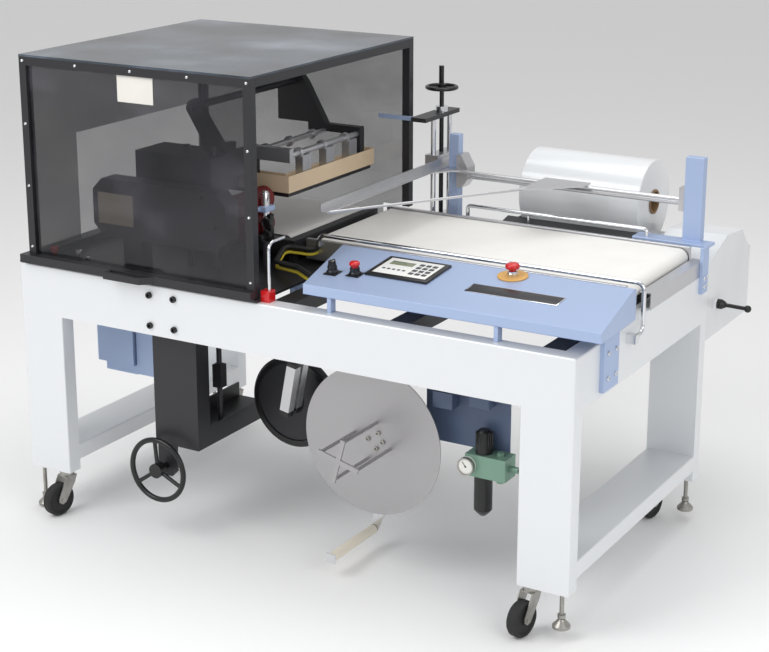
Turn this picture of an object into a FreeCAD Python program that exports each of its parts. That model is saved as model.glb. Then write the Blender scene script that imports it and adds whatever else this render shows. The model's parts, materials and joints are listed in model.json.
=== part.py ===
"""L bar sealer: an automatic side-seal and cross-seal wrapping machine.

Product travels from +X to -X on the infeed belt, through the L-shaped seal head under the
smoked hood, and out on the exit belt.  The operator stands at -Y.  Z is up, the floor is Z = 0.
All sizes are millimetres and live in the spreadsheet "Sizes", one section per assembly.
"""
import FreeCAD, Part
import math
import os
import re

import Sketcher

V = FreeCAD.Vector

# ---------------------------------------------------------------- driving dimensions
SIZES = {
    # datum and shared fits
    "datum_x": -946.5, "datum_y": -627.5, "fit": 0.05, "seat": 0.3,
    # welded frame
    "frame_length": 1800, "frame_depth": 940, "frame_top": 780, "leg_foot": 135, "tube_wide": 150,
    "tube_thin": 50, "tube_wall": 4, "tube_round": 5, "sheet": 3, "stretcher_low": 165, "bolt_x": 522.5, "bolt_drop": 76,
    "bolt_span_x": 85, "bolt_span_z": 90, "bolt_hole": 8, "foot_inset": 28, "stem_inset": 32,
    "foot_stem": 6, "caster_stem": 8, "hinge_back": 2, "hinge_high": 22, "hinge_pin": 5,
    "hinge_leaf": 16, "hinge_wall": 4, "hinge_near": 170, "hinge_far": 645, "hinge_knuckle": 30,
    # place of the inverter tower
    "tower_x": 896, "shaft_in": 28, "shaft_pitch": 105,
    # deck and cross members
    "deck_thick": 8, "deck_right": 850, "cross_wide": 60, "cross_high": 45, "cross_left": 872,
    "cross_mid_back": 560, "cross_right_back": 114, "rod_x": 572, "rod_pitch": 92, "rod_y": 200,
    "rod_radius": 8, "rod_clear": 3,
    # casters and levelling feet
    "wheel_radius": 50, "wheel_wide": 30, "wheel_hub": 14, "axle_radius": 5, "caster_trail": 38,
    "fork_gap": 36, "fork_sheet": 3, "fork_plate": 24, "fork_plate_thick": 5, "race_radius": 20,
    "race_high": 10, "fork_toe": 13, "fork_shoulder": 20, "caster_angle": 259, "foot_pad": 24,
    "foot_pad_high": 9, "foot_cone_high": 22, "foot_neck": 9, "nut_radius": 11, "nut_high": 9,
    "nut_rise": 30, "foot_reach": 70, "drop_left": 2, "drop_right": 32,
    # lifting hood
    "hood_left": 40, "hood_long": 802, "hood_front": 0, "hood_back": 60, "hood_rise": 10,
    "hood_high": 612, "hood_bar": 25, "rim_high": 22, "rim_out": 20, "panel_thick": 5,
    "panel_inset": 8, "window_near": 220, "window_back": 40, "window_drop": 264, "pull_left": 353,
    "pull_wide": 157, "pull_out": 28, "pull_high": 20, "pull_bar": 12, "roof_cap": 6,
    "notch_back": 102, "notch_rise": 82, "strap_half": 6,
    # belt conveyors
    "belt_rise": 75, "belt_thick": 2, "roller_radius": 25, "roller_shaft": 8, "side_gap": 5,
    "bed_gap": 8, "exit_left": 96, "exit_long": 570, "exit_near": 425, "exit_far_in": 100,
    "exit_side": 5, "exit_side_over_left": 26, "exit_side_over_right": 18, "infeed_gap": 108,
    "infeed_back": 68, "infeed_near": 420, "infeed_far_in": 72, "infeed_side": 13, "side_rise": 20,
    "side_lip": 6, "infeed_side_over": 22, "infeed_side_back": 38, "riser_wide": 60,
    "end_cover_wide": 34, "end_cover_lead": 69, "end_cover_back": 55, "end_cover_rise": 46,
    "end_cover_sheet": 4,
    # lower seal jaw
    "jaw_left": 250, "jaw_clear": 36, "jaw_cross_wide": 30, "jaw_lead": 52, "jaw_wide": 30,
    "jaw_back": 30, "jaw_deep": 42, "jaw_rise": 2, "jaw_lip": 6, "post_side": 20,
    # seal head
    "seal_lift": 127, "seal_gap": 0.3, "blade_high": 14, "blade_wide": 16, "channel_high": 50,
    "channel_wide": 34, "channel_wall": 3, "channel_long": 240, "channel_back": 14,
    "channel_lead": 2, "channel_over": 2, "housing_long": 266, "housing_over": 118,
    "housing_near": 150, "housing_deep": 140, "housing_rise": 165, "housing_tall": 104,
    "link_wide": 24, "boss_radius": 22, "arm_toe": 42, "fan_back": 60, "arm_thick": 26, "arm_shaft": 11, "arm_back": 4,
    "arm_rise": 126, "arm_run": 74, "front_arm_y": 236, "rear_arm_back": 82, "collar_radius": 16,
    "head_rod": 9, "rod_drop": 22, "rod_plate_thick": 20, "block_wide": 26, "block_long": 46,
    "collar_long": 12, "collar_first": 40, "collar_pitch": 130,
    # lift column and guide rods
    "column_left": 445, "column_wide": 155, "column_deep": 60, "column_high": 500, "column_wall": 6,
    "base_far": 470, "base_high": 60, "rod_over": 24, "lug_in": 7, "lug_wide": 68, "lug_high": 98,
    "crank_in": 28, "crank_drop": 67, "crank_shaft": 10, "rod_block_rise": 150,
    "rod_block_high": 70, "block_rod_side": 30, "crank_ring": 92, "crank_wire": 8, "crank_y": 8,
    "crank_hub": 22, "crank_hub_long": 26, "crank_grip": 11, "crank_grip_long": 60, "spoke": 6,
    # trim drive guard and nip rollers
    "guard_left": 232, "guard_long": 468, "guard_near": 70, "guard_deep": 64, "guard_rise": 101,
    "guard_tall": 170, "guard_bevel": 34, "stand_from": 98, "stand_wide": 70, "nip_back": 42,
    "nip_rise": 37, "nip_pitch": 71, "nip_radius": 34.5, "nip_shaft": 9, "nip_lead": 120,
    "nip_long": 140, "nip_post_off": 48, "nip_post": 9, "bracket_thick": 14, "stand_inset": 10,
    # control console
    "console_front": 22, "console_run": 308, "console_drop_run": 22, "lip_rise": 42, "lip_high": 28,
    "console_fall": 30, "rear_fall": 6, "rear_rise": 10, "console_wall": 3,
    "console_front_left": 985, "console_rear_left": 915, "console_over_front": 58,
    "console_over_rear": 12, "panel_off": 216, "panel_y": 218, "panel_long": 190, "panel_deep": 142,
    "panel_high": 6, "selector_x": 1017, "selector_y": 124, "lamp_x": 1081, "lamp_y": 137,
    "plate_side": 40, "plate_high": 2, "collar_high": 20, "control_collar": 13, "control_bore": 9,
    "stop_off": 281, "stop_y": 290, "stop_ring": 42, "stop_ring_high": 4, "stop_boss": 14,
    "stop_boss_high": 14, "press": 4, "knob_radius": 12, "knob_high": 14, "knob_rib": 5,
    "lamp_radius": 15, "lamp_high": 13, "stop_radius": 20, "stop_high": 16,
    # blue brackets and film posts
    "bracket_near": 153, "bracket_far": 249, "bracket_drop": 135, "bracket_sheet": 12,
    "inner_bracket_one": 1060, "bracket_back": 240, "post_off": 49, "post_wide": 33,
    "post_step": 13, "post_deep": 30, "post_high": 322, "right_post_back": 82,
    "right_post_wide": 55, "right_post_high": 332, "shelf_long": 225, "shelf_over": 10,
    "shelf_lead": 33, "shelf_over_far": 25, "shelf_high": 86, "shelf_thick": 8, "leg_lead": 82,
    "leg_back": 35, "leg_drop": 51, "sensor_left": 745, "sensor_in": 9, "sensor_wide": 12,
    # guard rails of bent bar
    "rail_radius": 6, "rail_bend": 22, "front_rail_left": 800, "rail_over": 16,
    "front_rail_rise": 24, "front_rail_drop": 35, "front_rail_set": 10, "clamp_near": 318,
    "clamp_far": 342, "clamp_half": 12, "rear_rail_left": 1022, "rear_rail_in": 32,
    "rear_rail_rise": 108, "rear_stay_x": 1230, "stay_radius": 4, "film_bar_x": 868,
    "film_bar_y": 34, "film_bar_rise": 165, "film_bar_back": 110, "film_bar_radius": 5, "bar_foot_long": 28, "bar_foot_wide": 30, "bar_foot_high": 32, "hose_radius": 7, "cable_radius": 4, "hose_in": 16, "hose_drop": 17, "hose_lead": 30, "hose_loop": 56, "hose_sag": 18, "hose_turn": 265, "hose_end": 120, "hose_apart": 16, "hose_bend": 22,
    # inverter tower
    "tower_shaft": 8.5, "base_left_reach": 26, "base_right_reach": 34, "base_over": 23,
    "tower_base_high": 50, "plate_left_reach": 30, "plate_right_reach": 22, "plate_lead": 89,
    "plate_over": 26, "tower_high": 370, "tower_plate": 13, "bearing_radius": 20,
    "bearing_high": 17, "screw_radius": 7, "screw_step": 20, "wheel_rise": 88, "hand_ring": 46,
    "hand_wire": 6, "hand_hub": 14, "hand_hub_high": 22, "grip_radius": 8, "grip_high": 60,
    "grip_angle": 120,
    # film inverter head
    "carriage_left_reach": 20, "carriage_right_reach": 24, "carriage_lead": 16, "carriage_over": 17,
    "carriage_rise": 205, "carriage_tall": 50, "bar_near": 215, "bar_back": 12, "bar_wide": 24,
    "bar_high": 26, "bar_wall": 4, "bar_rise": 13, "tube_radius": 6.5, "tube_rise": 0,
    "wing_thick": 4, "wing_reach": 368, "wing_lead": 160, "wing_over": 27, "wing_tip_reach": 148,
    "wing_tip_back": 25, "clamp_long": 16, "clamp_high": 70, "rod_thin": 4, "gusset_back": 63,
    # film unwind
    "roll_off": 245, "roll_gap": 64, "roll_back": 210, "roll_radius": 130, "core_radius": 38,
    "core_wall": 6, "cradle_spread": 75, "cradle_roller": 22, "cradle_shaft": 8,
    "cradle_over_left": 51, "cradle_over_right": 42, "cradle_sheet": 6, "cradle_deep": 350,
    "cradle_drop": 90, "cradle_rise": 35, "roll_rise": 132, "tray_near": 946, "tray_deep": 70,
    "tray_rise": 66, "tray_over": 62,
    # film drive cabinet
    "cabinet_wide": 188, "cabinet_back": 10, "cabinet_drop": 225, "cabinet_shoulder": 20, "cabinet_deep": 395,
    "cabinet_front_rise": 5, "peak_back": 176, "peak_rise": 66, "slope_back": 314, "slope_rise": 56,
    "edge_back": 360, "cabinet_rear_rise": 5, "lever_back": 110, "lever_drop": 130, "lever_hub": 15,
    "lever_hub_long": 12, "lever_rod": 6, "lever_ball": 11, "lever_out": 92, "lever_side": 14,
    "lever_shaft": 7,
    # trim winder
    "winder_back": 645, "winder_drop": 374, "winder_y": 100, "winder_radius": 215, "winder_sheet": 3,
    "arbor_ring": 58, "arbor_angle": -15, "arbor_rod": 5, "arbor_long": 180, "arbor_link": 6,
    "winder_hub": 30, "winder_hub_long": 28, "winder_shaft": 12, "winder_shaft_long": 150,
    "bearing_step": 36, "bearing_long": 96, "bearing_shell": 28, "hanger_wide": 50,
    "hanger_sheet": 10, "hanger_step": 80, "hanger_drop": 144, "hanger_top_drop": 60,
    "hanger_arm_drop": 120, "pivot_pin": 8, "pivot_drop": 106, "pivot_long": 102, "dancer_step": 82,
    "dancer_sheet": 8, "dancer_out": 92, "dancer_z": 60, "dancer_roller": 14, "dancer_near": 50,
    "dancer_shaft": 6,
    # pneumatics under the infeed
    "board_back": 510, "board_wide": 255, "board_y": 165, "board_sheet": 5, "board_drop": 360,
    "frl_back": 103, "frl_long": 120, "frl_near": 103, "frl_deep": 58, "frl_drop": 56,
    "frl_high": 62, "knob_in": 42, "frl_knob": 23, "frl_knob_high": 66, "bowl_radius": 25,
    "bowl_high": 118, "gauge_in": 10, "gauge_radius": 24, "gauge_deep": 16, "inlet_radius": 9,
    "inlet_bore": 5, "inlet_long": 26, "nipple_in": 92,
    # boxes and cylinders under the deck
    "box_left": 115, "box_wide": 136, "box_near": 200, "box_deep": 130, "box_high": 343,
    "tray_drop": 30, "relay_over": 71, "relay_step": 12, "relay_high": 370, "drum_x": 765,
    "drum_y": 300, "drum_drop": 395, "drum_radius": 140, "drum_deep": 26, "drum_strap": 50,
    "drum_sheet": 10, "ram_side": 30, "ram_long": 170, "ram_off": 32, "ram_near": 176,
    "ram_step": 42, "ram_drop": 388, "ram_lean": 11, "ram_lug_top": 780,
}

# Faces and axes that stand at a driving dimension from another one.
FOLLOWERS = {
    # welded frame
    "bolt_z": "frame_top - bolt_drop",
    # place of the inverter tower
    "shaft_near": "frame_depth - shaft_in", "shaft_far": "shaft_near + shaft_pitch",
    # deck and cross members
    "cross_mid": "frame_length - cross_mid_back", "cross_right": "frame_length - cross_right_back", "rod_x_second": "rod_x - rod_pitch",
    # lifting hood
    "hood_right": "hood_left + hood_long", "hood_rear": "frame_depth - hood_back",
    "hood_floor": "frame_top + hood_rise", "hood_top": "hood_floor + hood_high",
    "window_far": "hood_rear - window_back", "window_top": "hood_top - window_drop",
    "pull_right": "pull_left + pull_wide", "notch_left": "hood_right - notch_back",
    "notch_high": "hood_floor + notch_rise",
    # belt conveyors
    "belt_top": "frame_top + belt_rise", "exit_right": "exit_left + exit_long",
    "exit_wide": "frame_depth - exit_near - exit_far_in", "exit_side_left": "exit_left - exit_side_over_left",
    "exit_side_right": "exit_right + exit_side_over_right",
    "infeed_left": "exit_right + infeed_gap", "infeed_right": "frame_length - infeed_back",
    "infeed_wide": "frame_depth - infeed_near - infeed_far_in", "infeed_side_low": "frame_top + side_rise",
    "infeed_side_high": "belt_top + side_lip", "infeed_side_left": "infeed_left - infeed_side_over",
    "infeed_side_right": "frame_length - infeed_side_back",
    "end_cover_left": "frame_length - end_cover_wide",
    "end_cover_near": "infeed_near + end_cover_lead",
    "end_cover_far": "frame_depth - end_cover_back", "end_cover_high": "frame_top + end_cover_rise",
    # lower seal jaw
    "jaw_cross": "exit_right + jaw_clear", "jaw_right": "jaw_cross + jaw_cross_wide",
    "jaw_near": "infeed_near - jaw_lead", "jaw_far": "hood_rear - jaw_back",
    "jaw_low": "jaw_top - jaw_deep", "jaw_top": "belt_top + jaw_rise",
    # seal head
    "channel_left": "channel_right - channel_long", "channel_right": "jaw_right - channel_back",
    "channel_near": "jaw_near - channel_lead", "channel_far": "jaw_far + channel_over",
    "housing_left": "housing_right - housing_long", "housing_right": "channel_left + housing_over",
    "housing_far": "housing_near + housing_deep", "housing_low": "jaw_top + housing_rise",
    "housing_high": "housing_low + housing_tall", "arm_x": "channel_left - arm_back",
    "arm_z": "housing_high + arm_rise", "arm_foot_x": "arm_x + arm_run",
    "rear_arm_y": "channel_far - rear_arm_back", "rod_level": "housing_high - rod_drop",
    # lift column and guide rods
    "column_right": "column_left + column_wide", "column_low": "frame_top - column_high",
    "rod_top": "housing_high + rod_over", "lug_left": "column_left + lug_in",
    "lug_right": "lug_left + lug_wide", "lug_low": "column_low - lug_high",
    "crank_x": "lug_left + crank_in", "crank_z": "column_low - crank_drop",
    "block_rod_low": "column_low + rod_block_rise",
    "block_rod_high": "block_rod_low + rod_block_high",
    # trim drive guard and nip rollers
    "guard_right": "guard_left + guard_long", "guard_low": "frame_top + guard_rise",
    "guard_high": "guard_low + guard_tall", "stand_left": "guard_left + stand_from",
    "stand_right": "stand_left + stand_wide", "nip_x": "guard_right - nip_back",
    "nip_low_z": "guard_low + nip_rise", "nip_high_z": "nip_low_z + nip_pitch",
    "nip_near": "guard_near + nip_lead", "nip_post_x": "nip_x + nip_post_off",
    # control console
    "console_kink": "console_front + console_run",
    "console_rear": "console_kink + console_drop_run", "lip_low": "frame_top + lip_rise",
    "lip_top": "lip_low + lip_high", "kink_z": "lip_top + console_fall",
    "rear_z": "kink_z - rear_fall", "rear_low": "frame_top + rear_rise",
    "console_front_right": "frame_length + console_over_front",
    "console_rear_right": "frame_length + console_over_rear",
    "stop_x": "panel_x + stop_off", "panel_x": "console_front_left + panel_off",
    # blue brackets and film posts
    "bracket_low": "frame_top - bracket_drop", "inner_bracket_two": "frame_length - bracket_back",
    "post_left": "tower_x + post_off", "post_near": "shaft_near + post_step",
    "post_top": "frame_top + post_high", "right_post": "frame_length - right_post_back",
    "right_post_top": "frame_top + right_post_high", "shelf_left": "frame_length - shelf_long",
    "shelf_right": "frame_length + shelf_over", "shelf_near": "post_near - shelf_lead",
    "shelf_far": "post_near + shelf_over_far", "shelf_top": "frame_top + shelf_high",
    "leg_near": "frame_depth - leg_lead", "leg_far": "frame_depth - leg_back",
    "leg_low": "frame_top - leg_drop", "sensor_y": "plate_near + sensor_in",
    # guard rails of bent bar
    "front_rail_right": "frame_length + rail_over", "front_rail_z": "belt_top + front_rail_rise",
    "front_rail_low": "frame_top - front_rail_drop", "front_rail_foot": "belt_top - front_rail_set",
    "rear_rail_y": "frame_depth - rear_rail_in", "rear_rail_z": "frame_top + rear_rail_rise",
    "film_bar_z": "frame_top + film_bar_rise",
    # inverter tower
    "tower_base_left": "tower_x - base_left_reach",
    "tower_base_right": "tower_x + base_right_reach", "tower_base_far": "shaft_far + base_over",
    "plate_left": "tower_x - plate_left_reach", "plate_right": "tower_x + plate_right_reach",
    "plate_near": "shaft_near - plate_lead", "plate_far": "shaft_far + plate_over",
    "plate_low": "frame_top + tower_high", "wheel_z": "plate_low + wheel_rise",
    # film inverter head
    "carriage_left": "tower_x - carriage_left_reach",
    "carriage_right": "tower_x + carriage_right_reach",
    "carriage_near": "shaft_near - carriage_lead", "carriage_far": "shaft_far + carriage_over",
    "carriage_low": "frame_top + carriage_rise", "carriage_high": "carriage_low + carriage_tall",
    "bar_far": "shaft_far - bar_back", "bar_z": "carriage_low + bar_rise",
    "tube_z": "carriage_low + tube_rise", "wing_left": "tower_x + wing_reach",
    "wing_near": "post_near - wing_lead", "wing_far": "post_near + wing_over",
    "wing_tip_x": "wing_left + wing_tip_reach", "wing_tip_y": "post_near - wing_tip_back",
    "clamp_left": "right_post - clamp_long", "gusset_y": "post_near - gusset_back",
    # film unwind
    "roll_left": "tower_x + roll_off", "roll_right": "cabinet_left - roll_gap", "roll_y": "frame_depth + roll_back",
    "cradle_left": "roll_left - cradle_over_left", "cradle_right": "roll_right + cradle_over_right",
    "cradle_far": "frame_depth + cradle_deep", "cradle_low": "frame_top - cradle_drop",
    "cradle_high": "frame_top + cradle_rise", "roll_z": "frame_top + roll_rise",
    "tray_far": "frame_depth + tray_deep", "tray_z": "frame_top + tray_rise",
    "tray_right": "roll_right + tray_over",
    # film drive cabinet
    "cabinet_left": "cabinet_right - cabinet_wide", "cabinet_right": "frame_length - cabinet_back",
    "cabinet_low": "frame_top - cabinet_drop", "cabinet_far": "frame_depth + cabinet_deep",
    "cabinet_front_high": "frame_top + cabinet_front_rise",
    "cabinet_peak_y": "frame_depth + peak_back", "cabinet_peak": "frame_top + peak_rise",
    "cabinet_slope_y": "frame_depth + slope_back", "cabinet_slope": "frame_top + slope_rise",
    "cabinet_edge_y": "frame_depth + edge_back",
    "cabinet_rear_high": "frame_top + cabinet_rear_rise", "lever_y": "frame_depth + lever_back",
    "lever_z": "frame_top - lever_drop",
    # trim winder
    "winder_x": "frame_length - winder_back", "winder_z": "frame_top - winder_drop", "bearing_near": "winder_y + bearing_step",
    "bearing_far": "bearing_near + bearing_long", "hanger_y": "winder_y + hanger_step",
    "hanger_low": "winder_z - hanger_drop", "hanger_high": "frame_top - hanger_top_drop",
    "hanger_arm_low": "frame_top - hanger_arm_drop", "pivot_far": "hanger_y + pivot_long",
    "dancer_y": "hanger_y + dancer_step", "dancer_x": "winder_x - dancer_out",
    # pneumatics under the infeed
    "board_left": "frame_length - board_back", "board_right": "board_left + board_wide", "board_low": "frame_top - board_drop",
    "frl_left": "board_right - frl_back", "frl_low": "board_low - frl_drop",
    "knob_x": "frl_left + knob_in", "gauge_x": "frl_left + gauge_in",
    "nipple_x": "frl_left + nipple_in",
    # boxes and cylinders under the deck
    "box_right": "box_left + box_wide", "box_far": "box_near + box_deep",
    "box_low": "frame_top - box_high", "relay_right": "box_right + relay_over",
    "relay_near": "box_near + relay_step", "relay_low": "frame_top - relay_high",
    "drum_z": "frame_top - drum_drop", "ram_x": "drum_x + ram_off", "ram_z": "frame_top - ram_drop",
}

doc = FreeCAD.newDocument("LBarSealer")
sheet = doc.addObject("Spreadsheet::Sheet", "Sizes")
for row, (alias, number) in enumerate(SIZES.items(), 1):
    sheet.set("A%d" % row, alias)
    sheet.set("B%d" % row, str(number))
    sheet.setAlias("B%d" % row, alias)
sheet.recompute()
nodes = []
reading = doc.addObject("App::FeaturePython", "Reading")
reading.addProperty("App::PropertyFloat", "Reading")


# ---------------------------------------------------------------- helpers
def bound(text):
    """The expression with every size name pointing at the sheet."""
    def named(match):
        word = match.group()
        if word in FOLLOWERS:
            return "(%s)" % bound(FOLLOWERS[word])
        return "Sizes." + word if word in SIZES else word
    return re.sub(r"[a-z][a-z_0-9]*", named, str(text))


def value(text):
    """The expression as a plain number."""
    reading.setExpression("Reading", bound(text))
    reading.recompute()
    return reading.Reading


def place(obj, at, turn=None):
    """Put an object at a point given as three expressions, turned by a fixed rotation."""
    if turn is not None:
        obj.Placement = FreeCAD.Placement(V(), turn)
    for axis, text in zip("xyz", at):
        obj.setExpression("Placement.Base." + axis, bound(text))
    return obj


TURN = {"z": FreeCAD.Rotation(),
        "x": FreeCAD.Rotation(V(0, 1, 0), 90),
        "y": FreeCAD.Rotation(V(1, 0, 0), -90),
        "-y": FreeCAD.Rotation(V(1, 0, 0), 90),
        "-x": FreeCAD.Rotation(V(0, 1, 0), -90)}


def box(name, size, at):
    """A plain block from its lowest corner."""
    obj = doc.addObject("Part::Box", name)
    for prop, text in zip(("Length", "Width", "Height"), size):
        obj.setExpression(prop, bound(text))
    return place(obj, at)


def span(name, xs, ys, zs):
    """A plain block from its two limits along each axis."""
    size = ["(%s) - (%s)" % (hi, lo) for lo, hi in (xs, ys, zs)]
    return box(name, size, [xs[0], ys[0], zs[0]])


def cylinder(name, radius, length, at, axis="z"):
    obj = doc.addObject("Part::Cylinder", name)
    obj.setExpression("Radius", bound(radius))
    obj.setExpression("Height", bound(length))
    return place(obj, at, TURN[axis])


def torus(name, ring, wire, at, axis="z"):
    obj = doc.addObject("Part::Torus", name)
    obj.setExpression("Radius1", bound(ring))
    obj.setExpression("Radius2", bound(wire))
    return place(obj, at, TURN[axis])


def sphere(name, radius, at):
    obj = doc.addObject("Part::Sphere", name)
    obj.setExpression("Radius", bound(radius))
    return place(obj, at)


def fuse(name, *shapes):
    obj = doc.addObject("Part::MultiFuse", name)
    obj.Shapes = list(shapes)
    return obj


def cut(name, base, *tools):
    obj = doc.addObject("Part::Cut", name)
    obj.Base = base
    obj.Tool = tools[0] if len(tools) == 1 else fuse(name + "_tools", *tools)
    return obj


def common(name, first, second):
    obj = doc.addObject("Part::Common", name)
    obj.Base = first
    obj.Tool = second
    return obj


def outline(body, name, plane, points):
    """A closed sketch polygon whose corners are bound to the sheet."""
    sketch = body.newObject("Sketcher::SketchObject", name)
    for feature in body.Origin.OriginFeatures:
        if feature.Role == plane + "_Plane":
            sketch.AttachmentSupport = [(feature, "")]
    sketch.MapMode = "FlatFace"
    corners = [V(value(x), value(y), 0) for x, y in points]
    count = len(corners)
    for i in range(count):
        sketch.addGeometry(Part.LineSegment(corners[i], corners[(i + 1) % count]))
    for i in range(count):
        sketch.addConstraint(Sketcher.Constraint("Coincident", i, 2, (i + 1) % count, 1))
    for i, (x, y) in enumerate(points):
        for kind, text, now in (("DistanceX", x, corners[i].x), ("DistanceY", y, corners[i].y)):
            index = sketch.addConstraint(Sketcher.Constraint(kind, -1, 1, i, 1, now))
            sketch.setExpression("Constraints[%d]" % index, bound(text))
    return sketch


def prism(name, plane, points, depth, at=("0", "0", "0"), turn=None):
    """A padded outline: XY rises along +Z, YZ runs along +X, XZ runs along +Y."""
    body = doc.addObject("PartDesign::Body", name)
    sketch = outline(body, name + "_outline", plane, points)
    pad = body.newObject("PartDesign::Pad", name + "_pad")
    pad.Profile = sketch
    pad.setExpression("Length", bound(depth))
    pad.Reversed = plane == "XZ"
    body.Tip = pad
    return place(body, at, turn)


def turned(name, points, at, axis="z"):
    """A revolved outline of (radius, height) corners about its own axis."""
    body = doc.addObject("PartDesign::Body", name)
    sketch = outline(body, name + "_section", "XZ", points)
    spin = body.newObject("PartDesign::Revolution", name + "_spin")
    spin.Profile = sketch
    spin.ReferenceAxis = (sketch, ["V_Axis"])
    spin.Angle = 360
    body.Tip = spin
    return place(body, at, TURN[axis])


def ring(count, first, radius):
    """Evenly spaced points on a circle, as pairs of offset expressions."""
    turns = ["(%s + %g)" % (first, 360 * i / count) for i in range(count)]
    return [("%s * cos(%s * 1 deg)" % (radius, t), "%s * sin(%s * 1 deg)" % (radius, t))
            for t in turns]


def tube(name, route, radius, bend):
    """A round bar bent along a route: straight runs joined by tangent arcs."""
    points = [V(*[value(c) for c in point]) for point in route]
    radius = value(radius)
    bend = value(bend)
    edges = []
    start = points[0]
    for i in range(1, len(points) - 1):
        back = (points[i - 1] - points[i]).normalize()
        ahead = (points[i + 1] - points[i]).normalize()
        half = back.getAngle(ahead) / 2
        reach = bend / math.tan(half)
        middle = (back + ahead).normalize()
        centre = points[i] + middle * (bend / math.sin(half))
        first = points[i] + back * reach
        last = points[i] + ahead * reach
        edges.append(Part.LineSegment(start, first).toShape())
        edges.append(Part.Arc(first, centre - middle * bend, last).toShape())
        start = last
    edges.append(Part.LineSegment(start, points[-1]).toShape())
    path = Part.Wire(edges)
    heading = (points[1] - points[0]).normalize()
    profile = Part.Wire([Part.Circle(points[0], heading, radius).toShape()])
    obj = doc.addObject("Part::Feature", name)
    obj.Shape = path.makePipeShell([profile], True, False)
    print("%s: bend radius %.1f, volume ratio %.4f"
          % (name, bend, obj.Shape.Volume / (path.Length * math.pi * radius ** 2)))
    return obj


def node(name, *pieces):
    """One named sub-part, moved from machine coordinates to the part's datum."""
    obj = doc.addObject("Part::Compound", name)
    obj.Links = list(pieces)
    place(obj, ("datum_x", "datum_y", "0"))
    nodes.append(obj)
    return obj


def rounded(solid, radius, faces):
    """Round the edges of a block where two of the named faces meet."""
    solid.recompute()
    limits = solid.Shape.BoundBox
    sides = {"-x": (0, limits.XMin), "+x": (0, limits.XMax), "-y": (1, limits.YMin),
             "+y": (1, limits.YMax), "-z": (2, limits.ZMin), "+z": (2, limits.ZMax)}
    picked = []
    for number, edge in enumerate(solid.Shape.Edges, 1):
        centre = edge.CenterOfMass
        met = [face for face in faces
               if abs(centre[sides[face][0]] - sides[face][1]) < value("fit")]
        if len(met) == 2:
            picked.append((number, value(radius), value(radius)))
    soft = doc.addObject("Part::Fillet", solid.Name + "_rounded")
    soft.Base = solid
    soft.Edges = picked
    return soft


def hollow(name, size, at, faces):
    """A closed rectangular tube of the frame's wall, rounded where its open faces meet."""
    outer = rounded(box(name + "_skin", size, at), "tube_round", faces)
    inner = box(name + "_void", ["(%s) - 2 * tube_wall" % part for part in size],
                ["(%s) + tube_wall" % corner for corner in at])
    return cut(name, outer, inner)


# ---------------------------------------------------------------- welded frame

RAIL_LOW = "(frame_top - tube_wide)"
RIGHT_LEG = "(frame_length - tube_wide)"
REAR_TUBE = "(frame_depth - tube_thin)"
LEG_MID = "tube_thin / 2"
corners = {"front_left": ("0", "0", 1), "front_right": (RIGHT_LEG, "0", -1),
           "rear_left": ("0", REAR_TUBE, 1), "rear_right": (RIGHT_LEG, REAR_TUBE, -1)}
foot_place = {}
stem_place = {}
legs = []
for corner, (x, y, side) in corners.items():
    inner_edge = "tube_wide - stem_inset" if side > 0 else "stem_inset"
    outer_edge = "foot_inset" if side > 0 else "tube_wide - foot_inset"
    foot_place[corner] = ("%s + %s" % (x, outer_edge), "%s + %s" % (y, LEG_MID))
    stem_place[corner] = ("%s + %s" % (x, inner_edge), "%s + %s" % (y, LEG_MID))
    tube_shape = hollow("leg_" + corner, ("tube_wide", "tube_thin", RAIL_LOW + " - leg_foot"),
                        (x, y, "leg_foot"), ["-x", "+x", "-y" if y == "0" else "+y"])
    foot_bore = cylinder("foot_bore_" + corner, "foot_stem + fit", "2 * tube_wall",
                         foot_place[corner] + ("leg_foot - tube_wall / 2",))
    stem_bore = cylinder("stem_bore_" + corner, "caster_stem + fit", "2 * tube_wall",
                         stem_place[corner] + ("leg_foot - tube_wall / 2",))
    legs.append(cut("bored_leg_" + corner, tube_shape, foot_bore, stem_bore))
node("frame_legs", *legs)

front_tube = hollow("front_tube", ("frame_length", "tube_thin", "tube_wide"), ("0", "0", RAIL_LOW),
                    ["-x", "+x", "-y", "+z"])
bolt_holes = [cylinder("bolt_hole", "bolt_hole", "2 * tube_thin",
                       ("bolt_x + %d * bolt_span_x / 2" % side_x, "-tube_thin / 2",
                        "bolt_z + %d * bolt_span_z / 2" % side_z), "y")
              for side_x in (-1, 1) for side_z in (-1, 1)]
node("front_rail", cut("front_rail_bored", front_tube, *bolt_holes))

HINGE_Y = "(%s + hinge_back)" % REAR_TUBE
HINGE_Z = "(frame_top + hinge_high)"
rear_tube = hollow("rear_tube", ("frame_length", "tube_thin", "tube_wide"),
                   ("0", REAR_TUBE, RAIL_LOW), ["-x", "+x", "+y", "+z"])
hinge_sets = []
for start in ("hinge_near", "hinge_far"):
    leaves = [span("hinge_leaf", (x, x + " + hinge_leaf"), (REAR_TUBE, HINGE_Y + " + hinge_pin + hinge_wall"),
                   ("frame_top", HINGE_Z + " + hinge_pin + hinge_wall"))
              for x in (start, start + " + hinge_leaf + hinge_knuckle + 2 * seat")]
    pin = cylinder("hinge_pin", "hinge_pin", "2 * hinge_leaf + hinge_knuckle + 2 * seat",
                   (start, HINGE_Y, HINGE_Z), "x")
    hinge_sets.append(fuse("hinge_set", pin, *leaves))
end_tubes = [hollow("end_tube", ("tube_thin", REAR_TUBE + " - tube_thin", "tube_wide"),
                    (x, "tube_thin", RAIL_LOW), [outward, "+z"])
             for x, outward in (("0", "-x"), ("frame_length - tube_thin", "+x"))]
stretchers = [hollow("stretcher", ("tube_wide", REAR_TUBE + " - tube_thin", "tube_thin"),
                     (x, "tube_thin", "stretcher_low"), ["-x", "+x", "-z", "+z"]) for x in ("0", RIGHT_LEG)]
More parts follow.
